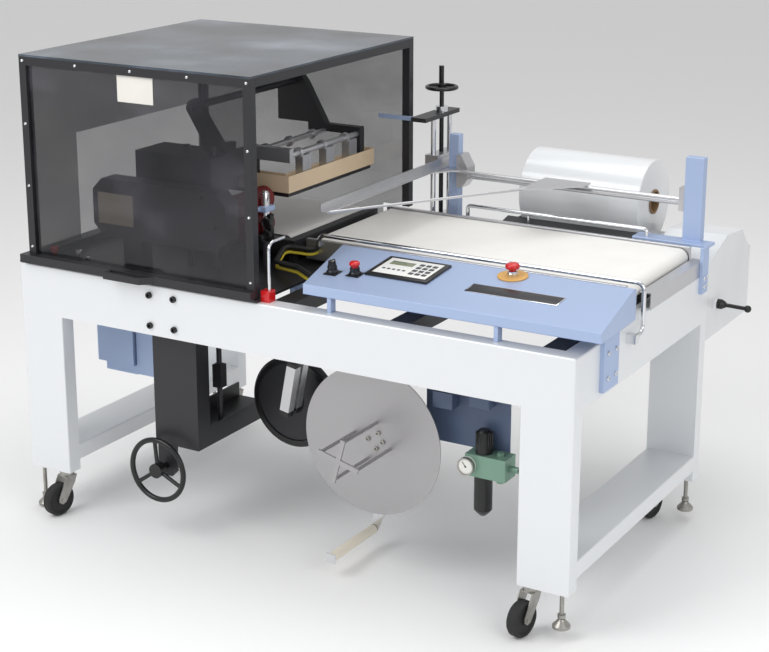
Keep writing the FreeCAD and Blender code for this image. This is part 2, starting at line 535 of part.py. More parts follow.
node("frame_rails", rear_tube, *hinge_sets, *end_tubes, *stretchers)

# ---------------------------------------------------------------- deck and cross members
DECK_TOP = "(frame_top + deck_thick)"
deck_sheet = span("deck_sheet", ("0", "deck_right"), ("0", REAR_TUBE), ("frame_top", DECK_TOP))
rod_holes = [cylinder("rod_hole", "rod_radius + rod_clear", "3 * deck_thick",
                      (x, "rod_y", "frame_top - deck_thick")) for x in ("rod_x", "rod_x_second")]
cross_members = [span("cross_member", (x, x + " + cross_wide"), ("tube_thin", REAR_TUBE),
                      ("frame_top - cross_high", "frame_top"))
                 for x in ("cross_left", "cross_mid", "cross_right")]
node("deck", cut("deck_pierced", deck_sheet, *rod_holes), *cross_members)

# ---------------------------------------------------------------- casters and levelling feet
FORK_TOP = "(leg_foot - seat)"
FORK_ROOF = "(%s - fork_plate_thick - race_high)" % FORK_TOP
for corner, (x, y) in stem_place.items():
    cheeks = [prism("fork_cheek_" + corner, "XZ",
                    [("-fork_shoulder", FORK_ROOF), ("-fork_shoulder * 0.6", FORK_ROOF + " - 22"),
                     ("caster_trail - fork_toe", "wheel_radius - fork_toe * 0.6"),
                     ("caster_trail", "wheel_radius - fork_toe"),
                     ("caster_trail + fork_toe", "wheel_radius - fork_toe * 0.3"),
                     ("caster_trail + fork_toe", "wheel_radius + fork_toe * 0.6"),
                     ("fork_shoulder", FORK_ROOF)], "fork_sheet", ("0", at, "0"))
              for at in ("fork_gap / 2", "-fork_gap / 2 - fork_sheet")]
    roof = span("fork_roof", ("-fork_shoulder", "fork_shoulder"),
                ("-fork_gap / 2 - fork_sheet", "fork_gap / 2 + fork_sheet"),
                (FORK_ROOF + " - fork_sheet", FORK_ROOF))
    race = cylinder("fork_race", "race_radius", "race_high", ("0", "0", FORK_ROOF))
    plate = cylinder("fork_plate", "fork_plate", "fork_plate_thick",
                     ("0", "0", FORK_ROOF + " + race_high"))
    stem = cylinder("fork_stem", "caster_stem", "4 * tube_wall", ("0", "0", FORK_TOP))
    axle = cylinder("fork_axle", "axle_radius", "fork_gap + 4 * fork_sheet",
                    ("caster_trail", "-fork_gap / 2 - 2 * fork_sheet", "wheel_radius"), "y")
    fork = fuse("fork_" + corner, *cheeks, roof, race, plate, stem, axle)
    place(fork, (x, y, "0"), FreeCAD.Rotation(V(0, 0, 1), value("caster_angle")))
    fork.setExpression("Placement.Rotation.Angle", bound("caster_angle * 1 deg"))
    node("caster_fork_" + corner, fork)

    wheel = turned("tyre_" + corner,
                   [("axle_radius + fit", "-wheel_wide / 2 - 2"), ("wheel_hub", "-wheel_wide / 2 - 2"),
                    ("wheel_hub", "-wheel_wide / 2 + 4"), ("wheel_radius - 12", "-wheel_wide / 2 + 4"),
                    ("wheel_radius - 9", "-wheel_wide / 2"), ("wheel_radius - 4", "-wheel_wide / 2"),
                    ("wheel_radius", "-wheel_wide / 2 + 5"), ("wheel_radius", "wheel_wide / 2 - 5"),
                    ("wheel_radius - 4", "wheel_wide / 2"), ("wheel_radius - 9", "wheel_wide / 2"),
                    ("wheel_radius - 12", "wheel_wide / 2 - 4"), ("wheel_hub", "wheel_wide / 2 - 4"),
                    ("wheel_hub", "wheel_wide / 2 + 2"), ("axle_radius + fit", "wheel_wide / 2 + 2")],
                   ("caster_trail", "0", "wheel_radius"), "y")
    hung = doc.addObject("Part::Compound", "hung_wheel_" + corner)
    hung.Links = [wheel]
    place(hung, (x, y, "0"), FreeCAD.Rotation(V(0, 0, 1), value("caster_angle")))
    hung.setExpression("Placement.Rotation.Angle", bound("caster_angle * 1 deg"))
    node("caster_wheel_" + corner, hung)

for corner, (x, y) in foot_place.items():
    drop = "drop_left" if corner.endswith("left") else "drop_right"
    stem_top = "leg_foot + foot_reach - %s" % drop
    foot = turned("foot_" + corner,
                  [("0", "0"), ("foot_pad - 2", "0"), ("foot_pad", "2"), ("foot_pad", "foot_pad_high"),
                   ("foot_neck + 3", "foot_cone_high"), ("foot_neck", "foot_cone_high + 5"),
                   ("foot_stem", "foot_cone_high + 5"), ("foot_stem", "nut_rise"),
                   ("nut_radius", "nut_rise"), ("nut_radius", "nut_rise + nut_high"),
                   ("foot_stem", "nut_rise + nut_high"), ("foot_stem", stem_top), ("0", stem_top)],
                  (x, y, drop))
    node("levelling_foot_" + corner, foot)

# ---------------------------------------------------------------- lifting hood
ROOF_LOW = "(hood_top - roof_cap)"
POST_LOW = "(hood_floor + rim_high)"
X_IN = ("hood_left + hood_bar", "hood_right - hood_bar")
Y_IN = ("hood_front + hood_bar", "hood_rear - hood_bar")
PULL_BACK = "(hood_front - rim_out)"
PULL_FRONT = "(hood_front - rim_out - pull_out)"
left_bar = ("hood_left", "hood_left + hood_bar")
right_bar = ("hood_right - hood_bar", "hood_right")
front_bar = ("hood_front", "hood_front + hood_bar")
rear_bar = ("hood_rear - hood_bar", "hood_rear")
hood_bars = [span("hood_post", xs, ys, (low, ROOF_LOW))
             for xs, ys, low in ((left_bar, front_bar, POST_LOW), (left_bar, rear_bar, POST_LOW),
                                 (right_bar, front_bar, POST_LOW), (right_bar, rear_bar, "notch_high"))]
roof_zone = (ROOF_LOW + " - hood_bar", ROOF_LOW)
for ys in (front_bar, rear_bar):
    hood_bars.append(span("hood_top_bar", X_IN, ys, roof_zone))
for xs in (left_bar, right_bar):
    hood_bars.append(span("hood_side_bar", xs, Y_IN, roof_zone))
rim_zone = ("hood_floor", POST_LOW)
hood_bars.append(span("front_rim", ("hood_left - rim_out", "hood_right"),
                      ("hood_front - rim_out", "hood_front + hood_bar"), rim_zone))
hood_bars.append(span("left_rim", ("hood_left - rim_out", "hood_left + hood_bar"),
                      ("hood_front + hood_bar", "hood_rear"), rim_zone))
hood_bars.append(span("rear_rim", ("hood_left + hood_bar", "notch_left"), rear_bar, rim_zone))
hood_bars.append(prism("pull_handle", "XY",
                       [("pull_left", PULL_BACK), ("pull_left", PULL_FRONT),
                        ("pull_right - pull_out", PULL_FRONT), ("pull_right", PULL_BACK),
                        ("pull_right - pull_bar", PULL_BACK),
                        ("pull_right - pull_out - pull_bar / 2", PULL_FRONT + " + pull_bar"),
                        ("pull_left + pull_bar", PULL_FRONT + " + pull_bar"),
                        ("pull_left + pull_bar", PULL_BACK)],
                       "pull_high", ("0", "0", "hood_floor")))
for start in ("hinge_near", "hinge_far"):
    knuckle_x = start + " + hinge_leaf + seat"
    knuckle = fuse("hood_knuckle_strapped",
                   cylinder("hood_knuckle", "hinge_pin + hinge_wall", "hinge_knuckle",
                            (knuckle_x, HINGE_Y, HINGE_Z), "x"),
                   span("hood_strap", (knuckle_x, knuckle_x + " + hinge_knuckle"),
                        ("hood_rear", HINGE_Y), (HINGE_Z + " - strap_half", HINGE_Z + " + strap_half")))
    hood_bars.append(cut("hood_knuckle_bored", knuckle,
                         cylinder("hood_bore", "hinge_pin + fit", "hinge_knuckle + 2",
                                  (knuckle_x + " - 1", HINGE_Y, HINGE_Z), "x")))
node("hood_frame", *hood_bars)

node("hood_top_panel", span("top_panel", ("hood_left", "hood_right"), ("hood_front", "hood_rear"),
                            (ROOF_LOW, "hood_top")))
PANEL_Z = (POST_LOW, ROOF_LOW + " - hood_bar")
node("hood_front_panel", span("front_panel", X_IN, ("hood_front + panel_inset",
                              "hood_front + panel_inset + panel_thick"), PANEL_Z))
rear_panel = prism("rear_panel", "XZ",
                   [(X_IN[0], PANEL_Z[0]), ("notch_left", PANEL_Z[0]), ("notch_left", "notch_high"),
                    (X_IN[1], "notch_high"), (X_IN[1], PANEL_Z[1]), (X_IN[0], PANEL_Z[1])],
                   "panel_thick", ("0", "hood_rear - panel_inset - panel_thick", "0"))
left_panel = prism("left_panel", "YZ",
                   [(Y_IN[0], PANEL_Z[0]), (Y_IN[0], PANEL_Z[1]), (Y_IN[1], PANEL_Z[1]),
                    (Y_IN[1], PANEL_Z[0]), ("window_far", PANEL_Z[0]), ("window_far", "window_top"),
                    ("window_near", "window_top"), ("window_near", PANEL_Z[0])],
                   "panel_thick", ("hood_left + panel_inset", "0", "0"))
node("hood_side_panels", rear_panel, left_panel)

# ---------------------------------------------------------------- belt conveyors
BELT_AXIS = "(belt_top - belt_thick - seat - roller_radius)"
LOOP_IN = "(roller_radius + seat)"
LOOP_OUT = "(roller_radius + seat + belt_thick)"


def belt_loop(name, left, right, near, wide):
    """A flat belt round two rollers whose axes stand at left and right."""
    loops = []
    for reach, radius, extra in (("outer", LOOP_OUT, "0"), ("inner", LOOP_IN, "1")):
        y = "(%s) - %s" % (near, extra)
        length = "(%s) + 2 * %s" % (wide, extra)
        flat = box(name + reach + "_flat", ("(%s) - (%s)" % (right, left), length, "2 * " + radius),
                   (left, y, "%s - %s" % (BELT_AXIS, radius)))
        ends = [cylinder(name + reach + "_end", radius, length, (x, y, BELT_AXIS), "y")
                for x in (left, right)]
        loops.append(fuse(name + reach, flat, *ends))
    return cut(name + "_loop", *loops)


def belt_bed(name, left, right, near, wide, side_thick, side_low, side_high, side_left, side_right):
    """Slider bed inside the belt, with two side members that carry the roller shafts."""
    bed = span(name + "_slider",
               (left + " + roller_radius + bed_gap", right + " - roller_radius - bed_gap"),
               (near + " - side_gap", near + " + %s + side_gap" % wide),
               (BELT_AXIS + " - roller_radius + bed_gap", BELT_AXIS + " + " + LOOP_IN))
    sides = [span(name + "_side", (side_left, side_right), (y, y + " + " + side_thick),
                  (side_low, side_high))
             for y in (near + " - side_gap - " + side_thick, near + " + %s + side_gap" % wide)]
    bores = [cylinder(name + "_bore", "roller_shaft + fit", wide + " + 4 * " + side_thick + " + 40",
                      (x, near + " - 2 * " + side_thick + " - 20", BELT_AXIS), "y")
             for x in (left, right)]
    return cut(name + "_frame", fuse(name + "_joined", bed, *sides), *bores)


def belt_roller(name, x, near, wide, side_thick):
    """A belt roller with stub shafts running through the side members."""
    reach = "side_gap + " + side_thick
    return turned(name, [("0", "-(%s)" % reach), ("roller_shaft", "-(%s)" % reach),
                         ("roller_shaft", "0"), ("roller_radius", "0"), ("roller_radius", wide),
                         ("roller_shaft", wide), ("roller_shaft", "%s + %s" % (wide, reach)),
                         ("0", "%s + %s" % (wide, reach))], (x, near, BELT_AXIS), "y")


node("exit_bed", belt_bed("exit", "exit_left", "exit_right", "exit_near", "exit_wide", "exit_side",
                          DECK_TOP, "belt_top - 4", "exit_side_left", "exit_side_right"))
node("exit_belt", belt_loop("exit_belt", "exit_left", "exit_right", "exit_near", "exit_wide"))
node("exit_drive_roller", belt_roller("exit_drive", "exit_left", "exit_near", "exit_wide", "exit_side"))
node("exit_nose_roller", belt_roller("exit_nose", "exit_right", "exit_near", "exit_wide", "exit_side"))

risers = [span("riser", (x, x + " + riser_wide"), (y, y + " + infeed_side"),
               ("frame_top", "infeed_side_low"))
          for x in ("cross_left", "cross_mid", "cross_right")
          for y in ("infeed_near - side_gap - infeed_side", "infeed_near + infeed_wide + side_gap")]
end_cover = prism("end_cover", "XZ",
                  [("end_cover_left", "frame_top"), ("frame_length", "frame_top"),
                   ("frame_length", "end_cover_high"), ("end_cover_left", "end_cover_high"),
                   ("end_cover_left", "end_cover_high - end_cover_sheet"),
                   ("frame_length - end_cover_sheet", "end_cover_high - end_cover_sheet"),
                   ("frame_length - end_cover_sheet", "frame_top + end_cover_sheet"),
                   ("end_cover_left", "frame_top + end_cover_sheet")],
                  "end_cover_far - end_cover_near", ("0", "end_cover_near", "0"))
node("infeed_bed", fuse("infeed_bed_joined",
                        belt_bed("infeed", "infeed_left", "infeed_right", "infeed_near",
                                 "infeed_wide", "infeed_side", "infeed_side_low",
                                 "infeed_side_high", "infeed_side_left", "infeed_side_right"),
                        *risers), end_cover)
node("infeed_belt", belt_loop("infeed_belt", "infeed_left", "infeed_right", "infeed_near",
                              "infeed_wide"))
node("infeed_nose_roller", belt_roller("infeed_nose", "infeed_left", "infeed_near", "infeed_wide",
                                       "infeed_side"))
node("infeed_drive_roller", belt_roller("infeed_drive", "infeed_right", "infeed_near",
                                        "infeed_wide", "infeed_side"))

# ---------------------------------------------------------------- lower seal jaw
jaw_cross = span("jaw_cross", ("jaw_cross", "jaw_right"), ("jaw_near", "jaw_far"),
                 ("jaw_low", "jaw_top"))
jaw_front = span("jaw_front", ("jaw_left", "jaw_cross"), ("jaw_near", "jaw_near + jaw_wide"),
                 ("jaw_low", "jaw_top"))
jaw_posts = [span("jaw_post", (x, x + " + post_side"), (y, y + " + post_side"), (DECK_TOP, "jaw_low"))
             for x, y in (("jaw_left + jaw_lip", "jaw_near + jaw_lip"),
                          ("jaw_cross + jaw_lip", "jaw_near + jaw_lip"),
                          ("jaw_cross + jaw_lip", "jaw_far - post_side - jaw_lip"))]
node("lower_jaw", fuse("lower_jaw_joined", jaw_cross, jaw_front, *jaw_posts))

# ---------------------------------------------------------------- seal head
BLADE_LOW = "(jaw_top + seal_gap + seal_lift)"
CHANNEL_LOW = "(%s + blade_high)" % BLADE_LOW
CHANNEL_TOP = "(%s + channel_high)" % CHANNEL_LOW


def l_plan(name, inset, near_inset, low, high):
    """An L-shaped bar seen from above: along the front and back along the right."""
    return prism(name, "XY",
                 [("channel_left + %s" % inset, "channel_near + %s" % near_inset),
                  ("channel_right - %s" % inset, "channel_near + %s" % near_inset),
                  ("channel_right - %s" % inset, "channel_far - %s" % inset),
                  ("channel_right - channel_wide + %s" % inset, "channel_far - %s" % inset),
                  ("channel_right - channel_wide + %s" % inset,
                   "channel_near + channel_wide - %s" % inset),
                  ("channel_left + %s" % inset, "channel_near + channel_wide - %s" % inset)],
                 "(%s) - (%s)" % (high, low), ("0", "0", low))


node("seal_channel", cut("seal_channel_open",
                         l_plan("channel_skin", "0", "0", CHANNEL_LOW, CHANNEL_TOP),
                         l_plan("channel_void", "channel_wall", "channel_wall",
                                CHANNEL_LOW + " + channel_wall", CHANNEL_TOP + " + 1")))

blade_inset = "(channel_wide - blade_wide) / 2"
blade = l_plan("seal_blade", blade_inset, blade_inset, BLADE_LOW, CHANNEL_LOW)
housing = cut("housing_bored",
              span("seal_housing", ("housing_left", "housing_right"),
                   ("housing_near", "housing_far"), ("housing_low", "housing_high")),
              *[cylinder("housing_bore", "rod_radius + fit", "housing_high - housing_low + 2",
                         (x, "rod_y", "housing_low - 1")) for x in ("rod_x", "rod_x_second")])
LINK_LOW = CHANNEL_LOW + " + channel_wall"
links = [span("seal_link", (x, x + " + link_wide"),
              ("housing_far", "channel_near + channel_wide - channel_wall"),
              (CHANNEL_TOP, "housing_high")) for x in ("channel_left + 10", "housing_right - link_wide")]
link_feet = [span("seal_link_foot", (x, x + " + link_wide"),
                  ("channel_near + channel_wall", "channel_near + channel_wide - channel_wall"),
                  (LINK_LOW, CHANNEL_TOP)) for x in ("channel_left + 10", "housing_right - link_wide")]


def head_arm(name, y, low):
    """One inclined arm, from a rounded boss on the shaft down to the seal frame."""
    return prism(name, "XZ",
                 [("arm_x - boss_radius", "arm_z - boss_radius / 3"),
                  ("arm_x - boss_radius * 0.7", "arm_z + boss_radius * 0.6"),
                  ("arm_x", "arm_z + boss_radius"),
                  ("arm_x + boss_radius * 0.7", "arm_z + boss_radius * 0.7"),
                  ("arm_x + boss_radius * 1.2", "arm_z"),
                  ("arm_foot_x + arm_toe", low), ("arm_foot_x - boss_radius", low)],
                 "arm_thick", ("0", y, "0"))


def wide_arm(name, y, low):
    """The far arm, cut from a plate that spreads to the full length of the seal frame."""
    return prism(name, "XZ",
                 [("arm_x - fan_back", "arm_z - boss_radius"), ("arm_x - boss_radius", "arm_z + boss_radius"),
                  ("arm_x + boss_radius", "arm_z + boss_radius * 1.2"),
                  ("arm_x + 2 * boss_radius", "arm_z"), ("arm_foot_x + arm_toe", low),
                  ("arm_x - fan_back", low)],
                 "arm_thick", ("0", y, "0"))


arms = [head_arm("front_arm", "front_arm_y", "housing_high"),
        wide_arm("rear_arm", "rear_arm_y", "housing_high")]
shaft = cylinder("arm_shaft", "arm_shaft", "rear_arm_y - front_arm_y + 2 * arm_thick",
                 ("arm_x", "front_arm_y - arm_thick / 2", "arm_z"), "y")
rear_foot = span("rear_arm_foot", ("arm_foot_x - boss_radius", "channel_right - channel_wall"),
                 ("rear_arm_y", "rear_arm_y + arm_thick"), ("housing_high - link_wide", "housing_high"))
rear_post = span("rear_arm_post", ("channel_right - channel_wide + channel_wall",
                                   "channel_right - channel_wall"),
                 ("rear_arm_y", "rear_arm_y + arm_thick"), (LINK_LOW, "housing_high"))
node("seal_carriage", fuse("seal_carriage_joined", housing, *links, *link_feet, *arms, shaft,
                           rear_foot, rear_post), blade)

ROD_X = ("housing_right - link_wide / 2", "channel_right - channel_wide / 2")
ROD_NEAR = "(channel_near + channel_wide - channel_wall)"
head_rods = [cylinder("cross_rod", "head_rod", "rear_arm_y - " + ROD_NEAR, (x, ROD_NEAR, "rod_level"), "y")
             for x in ROD_X]
rod_plate = span("rod_plate", ("housing_right", "channel_right - channel_wall"),
                 (ROD_NEAR + " - rod_plate_thick", ROD_NEAR), ("rod_level - 2 * head_rod", "housing_high"))
collars = [turned("rod_collar", [("head_rod", "0"), ("collar_radius", "0"),
                                 ("collar_radius", "collar_long"), ("head_rod", "collar_long")],
                  (x, "%s + collar_first + %d * collar_pitch" % (ROD_NEAR, i), "rod_level"), "y")
           for x in ROD_X for i in range(3)]
BLOCK_X = "channel_right - channel_wide + channel_wall"
blocks = [span("clamp_block", (BLOCK_X, BLOCK_X + " + block_wide"),
               ("%s + collar_first + %d * collar_pitch + collar_long" % (ROD_NEAR, i),
                "%s + collar_first + %d * collar_pitch + collar_long + block_long" % (ROD_NEAR, i)),
               (LINK_LOW, "rod_level - head_rod")) for i in range(3)]
node("head_rods", *head_rods, rod_plate, *collars, *blocks)

# ---------------------------------------------------------------- lift column and guide rods
column = prism("column", "XY",
               [("column_left", "tube_thin"), ("column_right", "tube_thin"),
                ("column_right", "tube_thin + column_deep"),
                ("column_right - column_wall", "tube_thin + column_deep"),
                ("column_right - column_wall", "tube_thin + column_wall"),
                ("column_left + column_wall", "tube_thin + column_wall"),
                ("column_left + column_wall", "tube_thin + column_deep"),
                ("column_left", "tube_thin + column_deep")],
               "frame_top - column_low", ("0", "0", "column_low"))
base_tray = prism("base_tray", "XZ",
                  [("column_left", "column_low"), ("column_right", "column_low"),
                   ("column_right", "column_low + base_high"),
                   ("column_right - column_wall", "column_low + base_high"),
                   ("column_right - column_wall", "column_low + 3 * column_wall"),
                   ("column_left + column_wall", "column_low + 3 * column_wall"),
                   ("column_left + column_wall", "column_low + base_high"),
                   ("column_left", "column_low + base_high")],
                  "base_far - tube_thin - column_wall", ("0", "tube_thin + column_wall", "0"))
lug = cut("crank_lug_bored",
          prism("crank_lug", "XZ",
                [("lug_left", "column_low"), ("lug_right", "column_low"), ("lug_right", "lug_low + 20"),
                 ("lug_right - 20", "lug_low"), ("lug_left + 12", "lug_low"), ("lug_left", "lug_low + 14")],
                "column_wall", ("0", "tube_thin", "0")),
          cylinder("crank_bore", "crank_shaft + fit", "4 * column_wall",
                   ("crank_x", "tube_thin - column_wall", "crank_z"), "y"))
guide_rods = [cylinder("guide_rod", "rod_radius", "rod_top - column_low - 2 * column_wall",
                       (x, "rod_y", "column_low + 2 * column_wall")) for x in ("rod_x", "rod_x_second")]
rod_block = span("rod_block", ("rod_x - block_rod_side / 2", "rod_x + block_rod_side / 2"),
                 ("rod_y - block_rod_side / 2", "rod_y + block_rod_side / 2"),
                 ("block_rod_low", "block_rod_high"))
node("lift_column", fuse("lift_column_joined", column, base_tray, lug, *guide_rods, rod_block))

CRANK = ("crank_x", "crank_y", "crank_z")
crank_parts = [torus("crank_rim", "crank_ring", "crank_wire", CRANK, "y"),
               cylinder("crank_hub", "crank_hub", "crank_hub_long",
                        ("crank_x", "crank_y - crank_hub_long / 2", "crank_z"), "y"),
               cylinder("crank_axle", "crank_shaft", "tube_thin + column_wall - crank_y + 8",
                        CRANK, "y")]
for i in range(3):
    arm = doc.addObject("Part::Cylinder", "crank_spoke")
    arm.setExpression("Radius", bound("spoke"))
    arm.setExpression("Height", bound("crank_ring"))
    place(arm, CRANK, FreeCAD.Rotation(V(0, 1, 0), 90 + 120 * i + 25))
    crank_parts.append(arm)
node("lift_handwheel", fuse("lift_handwheel_joined", *crank_parts))

# ---------------------------------------------------------------- trim drive guard and nip rollers
guard_body = prism("guard_body", "XZ",
                   [("guard_left", "guard_low + guard_bevel"), ("guard_left + guard_bevel", "guard_low"),
                    ("guard_right - guard_bevel", "guard_low"), ("guard_right", "guard_low + guard_bevel"),
                    ("guard_right", "guard_high - guard_bevel"),
                    ("guard_right - guard_bevel", "guard_high"),
                    ("guard_left + guard_bevel", "guard_high"),
                    ("guard_left", "guard_high - guard_bevel")],
                   "guard_deep", ("0", "guard_near", "0"))
stand = span("guard_stand", ("stand_left", "stand_right"),
             ("guard_near + stand_inset", "guard_near + guard_deep - stand_inset"),
             (DECK_TOP, "guard_low"))
shaft_bores = [cylinder("nip_bore", "nip_shaft + fit", "guard_deep",
                        ("nip_x", "guard_near + stand_inset", z), "y")
               for z in ("nip_low_z", "nip_high_z")]
nip_post = cylinder("nip_post", "nip_post", "nip_high_z + nip_radius - %s" % DECK_TOP,
                    ("nip_post_x", "nip_near + nip_long / 2", DECK_TOP))
node("drive_guard", cut("guard_bored", fuse("guard_joined", guard_body, stand), *shaft_bores),
     nip_post)
for name, z in (("nip_roller_lower", "nip_low_z"), ("nip_roller_upper", "nip_high_z")):
    reach = "nip_near - guard_near - stand_inset - 1"
    node(name, turned(name + "_turned",
                      [("0", "-(%s)" % reach), ("nip_shaft", "-(%s)" % reach), ("nip_shaft", "0"),
                       ("nip_radius - 2", "0"), ("nip_radius", "2"), ("nip_radius", "nip_long - 2"),
                       ("nip_radius - 2", "nip_long"), ("0", "nip_long")],
                      ("nip_x", "nip_near", z), "y"))

# ---------------------------------------------------------------- control console
SLOPE = "((kink_z - lip_top) / (console_kink - console_front))"
SLOPE_TURN = FreeCAD.Rotation(V(1, 0, 0), math.degrees(math.atan(value(SLOPE))))


def console_z(y):
    """Height of the console's top sheet above a point, as an expression."""
    return "(lip_top + ((%s) - console_front) * %s)" % (y, SLOPE)


def console_block(name, inset, drop):
    """The folded outline of the console, cut to its slanted plan."""
    side = prism(name + "_side", "YZ",
                 [("console_front + %s" % inset, "lip_low - %s" % drop),
                  ("console_front + %s" % inset, "lip_top - %s" % inset),
                  ("console_kink", "kink_z - %s" % inset),
                  ("console_rear - %s" % inset, "rear_z - %s" % inset),
                  ("console_rear - %s" % inset, "rear_low - %s" % drop)],
                 "frame_length", ("console_rear_left / 2", "0", "0"))
    plan = prism(name + "_plan", "XY",
                 [("console_front_left + %s" % inset, "console_front - 1"),
                  ("console_front_right - %s" % inset, "console_front - 1"),
                  ("console_rear_right - %s" % inset, "console_rear + 1"),
                  ("console_rear_left + %s" % inset, "console_rear + 1")],
                 "frame_top", ("0", "0", "frame_top / 2"))
    return common(name, side, plan)


node("console_shell", cut("console_sheet", console_block("console_skin", "0", "0"),
                          console_block("console_void", "console_wall", "50")))


def on_console(name, shapes, x, y):
    """Controls made about their own foot, stood square on the sloping top sheet."""
    obj = fuse(name, *shapes) if len(shapes) > 1 else shapes[0]
    group = doc.addObject("Part::Compound", name + "_seated")
    group.Links = [obj]
    place(group, (x, y, console_z(y)), SLOPE_TURN)
    group.setExpression("Placement.Rotation.Angle", bound("atan(%s)" % SLOPE))
    return group


def collar(name, radius, bore, low, high):
    return cut(name, cylinder(name + "_skin", radius, "(%s) - (%s)" % (high, low), ("0", "0", low)),
               cylinder(name + "_bore", bore, "(%s) - (%s) + 1" % (high, low), ("0", "0", low)))


def square_plate(name, side, high):
    return box(name, (side, side, high), ("-(%s) / 2" % side, "-(%s) / 2" % side, "0"))


screen = on_console("screen", [box("screen_frame", ("panel_long", "panel_deep", "panel_high"),
                                   ("-panel_long / 2", "-panel_deep / 2", "0"))],
                    "panel_x", "panel_y")
control_seats = [on_console(name, [square_plate(name + "_plate", "plate_side", "plate_high"),
                                   collar(name + "_collar", "control_collar", "control_bore + fit",
                                          "plate_high", "plate_high + collar_high")], x, y)
                 for name, x, y in (("selector", "selector_x", "selector_y"),
                                    ("lamp", "lamp_x", "lamp_y"))]
stop_seat = on_console("stop", [cylinder("stop_ring", "stop_ring", "stop_ring_high", ("0", "0", "0")),
                                collar("stop_collar", "stop_boss", "control_bore + fit",
                                       "stop_ring_high", "stop_ring_high + stop_boss_high")],
                       "stop_x", "stop_y")
node("control_plates", screen, *control_seats, stop_seat)

STEM_LOW = "plate_high + press + 1"
COLLAR_TOP = "(plate_high + collar_high)"
selector = on_console("selector_knob_body",
                      [cylinder("selector_stem", "control_bore", COLLAR_TOP + " - (%s)" % STEM_LOW,
                                ("0", "0", STEM_LOW)),
                       cylinder("selector_cap", "knob_radius", "knob_high / 2",
                                ("0", "0", COLLAR_TOP + " + seat")),
                       cylinder("selector_neck", "control_bore", "seat", ("0", "0", COLLAR_TOP)),
                       box("selector_rib", ("knob_rib", "2 * knob_radius + 4", "knob_high"),
                           ("-knob_rib / 2", "-knob_radius - 2", COLLAR_TOP + " + seat"))],
                      "selector_x", "selector_y")
node("selector_knob", selector)


def push_button(name, cap_radius, cap_high, seat_top, stem_low, x, y):
    """A stem guided in its collar under a domed cap that can be pressed down."""
    under = "(%s + press + 1)" % seat_top
    shape = turned(name + "_turned",
                   [("0", stem_low), ("control_bore", stem_low), ("control_bore", under),
                    (cap_radius, under), (cap_radius, under + " + %s * 0.6" % cap_high),
                    (cap_radius + " * 0.75", under + " + %s * 0.9" % cap_high),
                    ("0", under + " + " + cap_high)], ("0", "0", "0"))
    return on_console(name + "_body", [shape], x, y)


node("lamp_button", push_button("lamp_button", "lamp_radius", "lamp_high", COLLAR_TOP, STEM_LOW,
                                "lamp_x", "lamp_y"))
node("stop_button", push_button("stop_button", "stop_radius", "stop_high",
                                "(stop_ring_high + stop_boss_high)",
                                "stop_ring_high + press + 1", "stop_x", "stop_y"))

# ---------------------------------------------------------------- blue brackets and film posts


def console_web(name, x, thick, near, far, low):
    """A plate that stands under the console's top sheet and follows its slope."""
    return prism(name, "YZ",
                 [(near, low), (far, low), (far, console_z(far) + " - console_wall - seat"),
                  (near, console_z(near) + " - console_wall - seat")], thick, (x, "0", "0"))


outer_web = console_web("outer_web", "frame_length", "bracket_sheet", "bracket_near", "bracket_far",
                        "bracket_low")
inner_webs = [console_web("inner_web", x, "bracket_sheet", "console_front + console_wall",
                          "tube_thin", "frame_top") for x in ("inner_bracket_one",
                                                              "inner_bracket_two")]
left_post = span("left_post", ("post_left", "post_left + post_wide"),
                 ("post_near", "post_near + post_deep"), ("frame_top", "post_top"))
right_post = fuse("right_post",
                  span("right_post_tube", ("right_post", "right_post + right_post_wide"),
                       ("post_near", "post_near + post_deep"), ("shelf_top", "right_post_top")),
                  span("post_shelf", ("shelf_left", "shelf_right"), ("shelf_near", "shelf_far"),
                       ("shelf_top - shelf_thick", "shelf_top")),
                  span("post_leg", ("frame_length", "shelf_right"), ("leg_near", "leg_far"),
                       ("leg_low", "shelf_top")))
node("blue_brackets", outer_web, *inner_webs, left_post, right_post)

# ---------------------------------------------------------------- guard rails of bent bar
FRONT_RAIL_Y = "(infeed_near - side_gap - infeed_side - rail_radius - seat)"
front_guard = tube("front_guard",
                   [("front_rail_left", FRONT_RAIL_Y, "front_rail_foot"),
                    ("front_rail_left", FRONT_RAIL_Y, "front_rail_z"),
                    ("front_rail_right", FRONT_RAIL_Y, "front_rail_z"),
                    ("front_rail_right", FRONT_RAIL_Y, "front_rail_low"),
                    ("front_rail_right", "clamp_far", "front_rail_low")], "rail_radius", "rail_bend")
clamp = span("guard_clamp", ("frame_length", "front_rail_right + clamp_half"),
             ("clamp_near", "clamp_far"), ("front_rail_low - clamp_half", "front_rail_low + clamp_half"))
rear_guard = tube("rear_guard",
                  [("rear_rail_left", "rear_rail_y", "frame_top"),
                   ("rear_rail_left", "rear_rail_y", "rear_rail_z"),
                   ("shelf_left + 40", "rear_rail_y", "rear_rail_z"),
                   ("shelf_left + 40", "rear_rail_y", "shelf_top")], "rail_radius", "rail_bend / 2")
rear_stay = cylinder("rear_stay", "stay_radius", "rear_rail_z - rail_radius - frame_top",
                     ("rear_stay_x", "rear_rail_y", "frame_top"))
film_bar = tube("film_bar", [("film_bar_x", "film_bar_y", "frame_top"),
                             ("film_bar_x", "film_bar_y", "film_bar_z"),
                             ("film_bar_x", "film_bar_back", "film_bar_z")], "film_bar_radius",
                "rail_bend")
bar_foot = span("film_bar_foot", ("deck_right", "deck_right + bar_foot_long"),
                ("film_bar_y - bar_foot_wide / 2", "film_bar_y + bar_foot_wide / 2"),
                ("frame_top", "frame_top + bar_foot_high"))


def console_end(y):
    """Where the console's slanted left end stands at a given depth."""
    return ("(console_front_left - (console_front_left - console_rear_left)"
            " * ((%s) - console_front) / (console_rear - console_front))" % y)


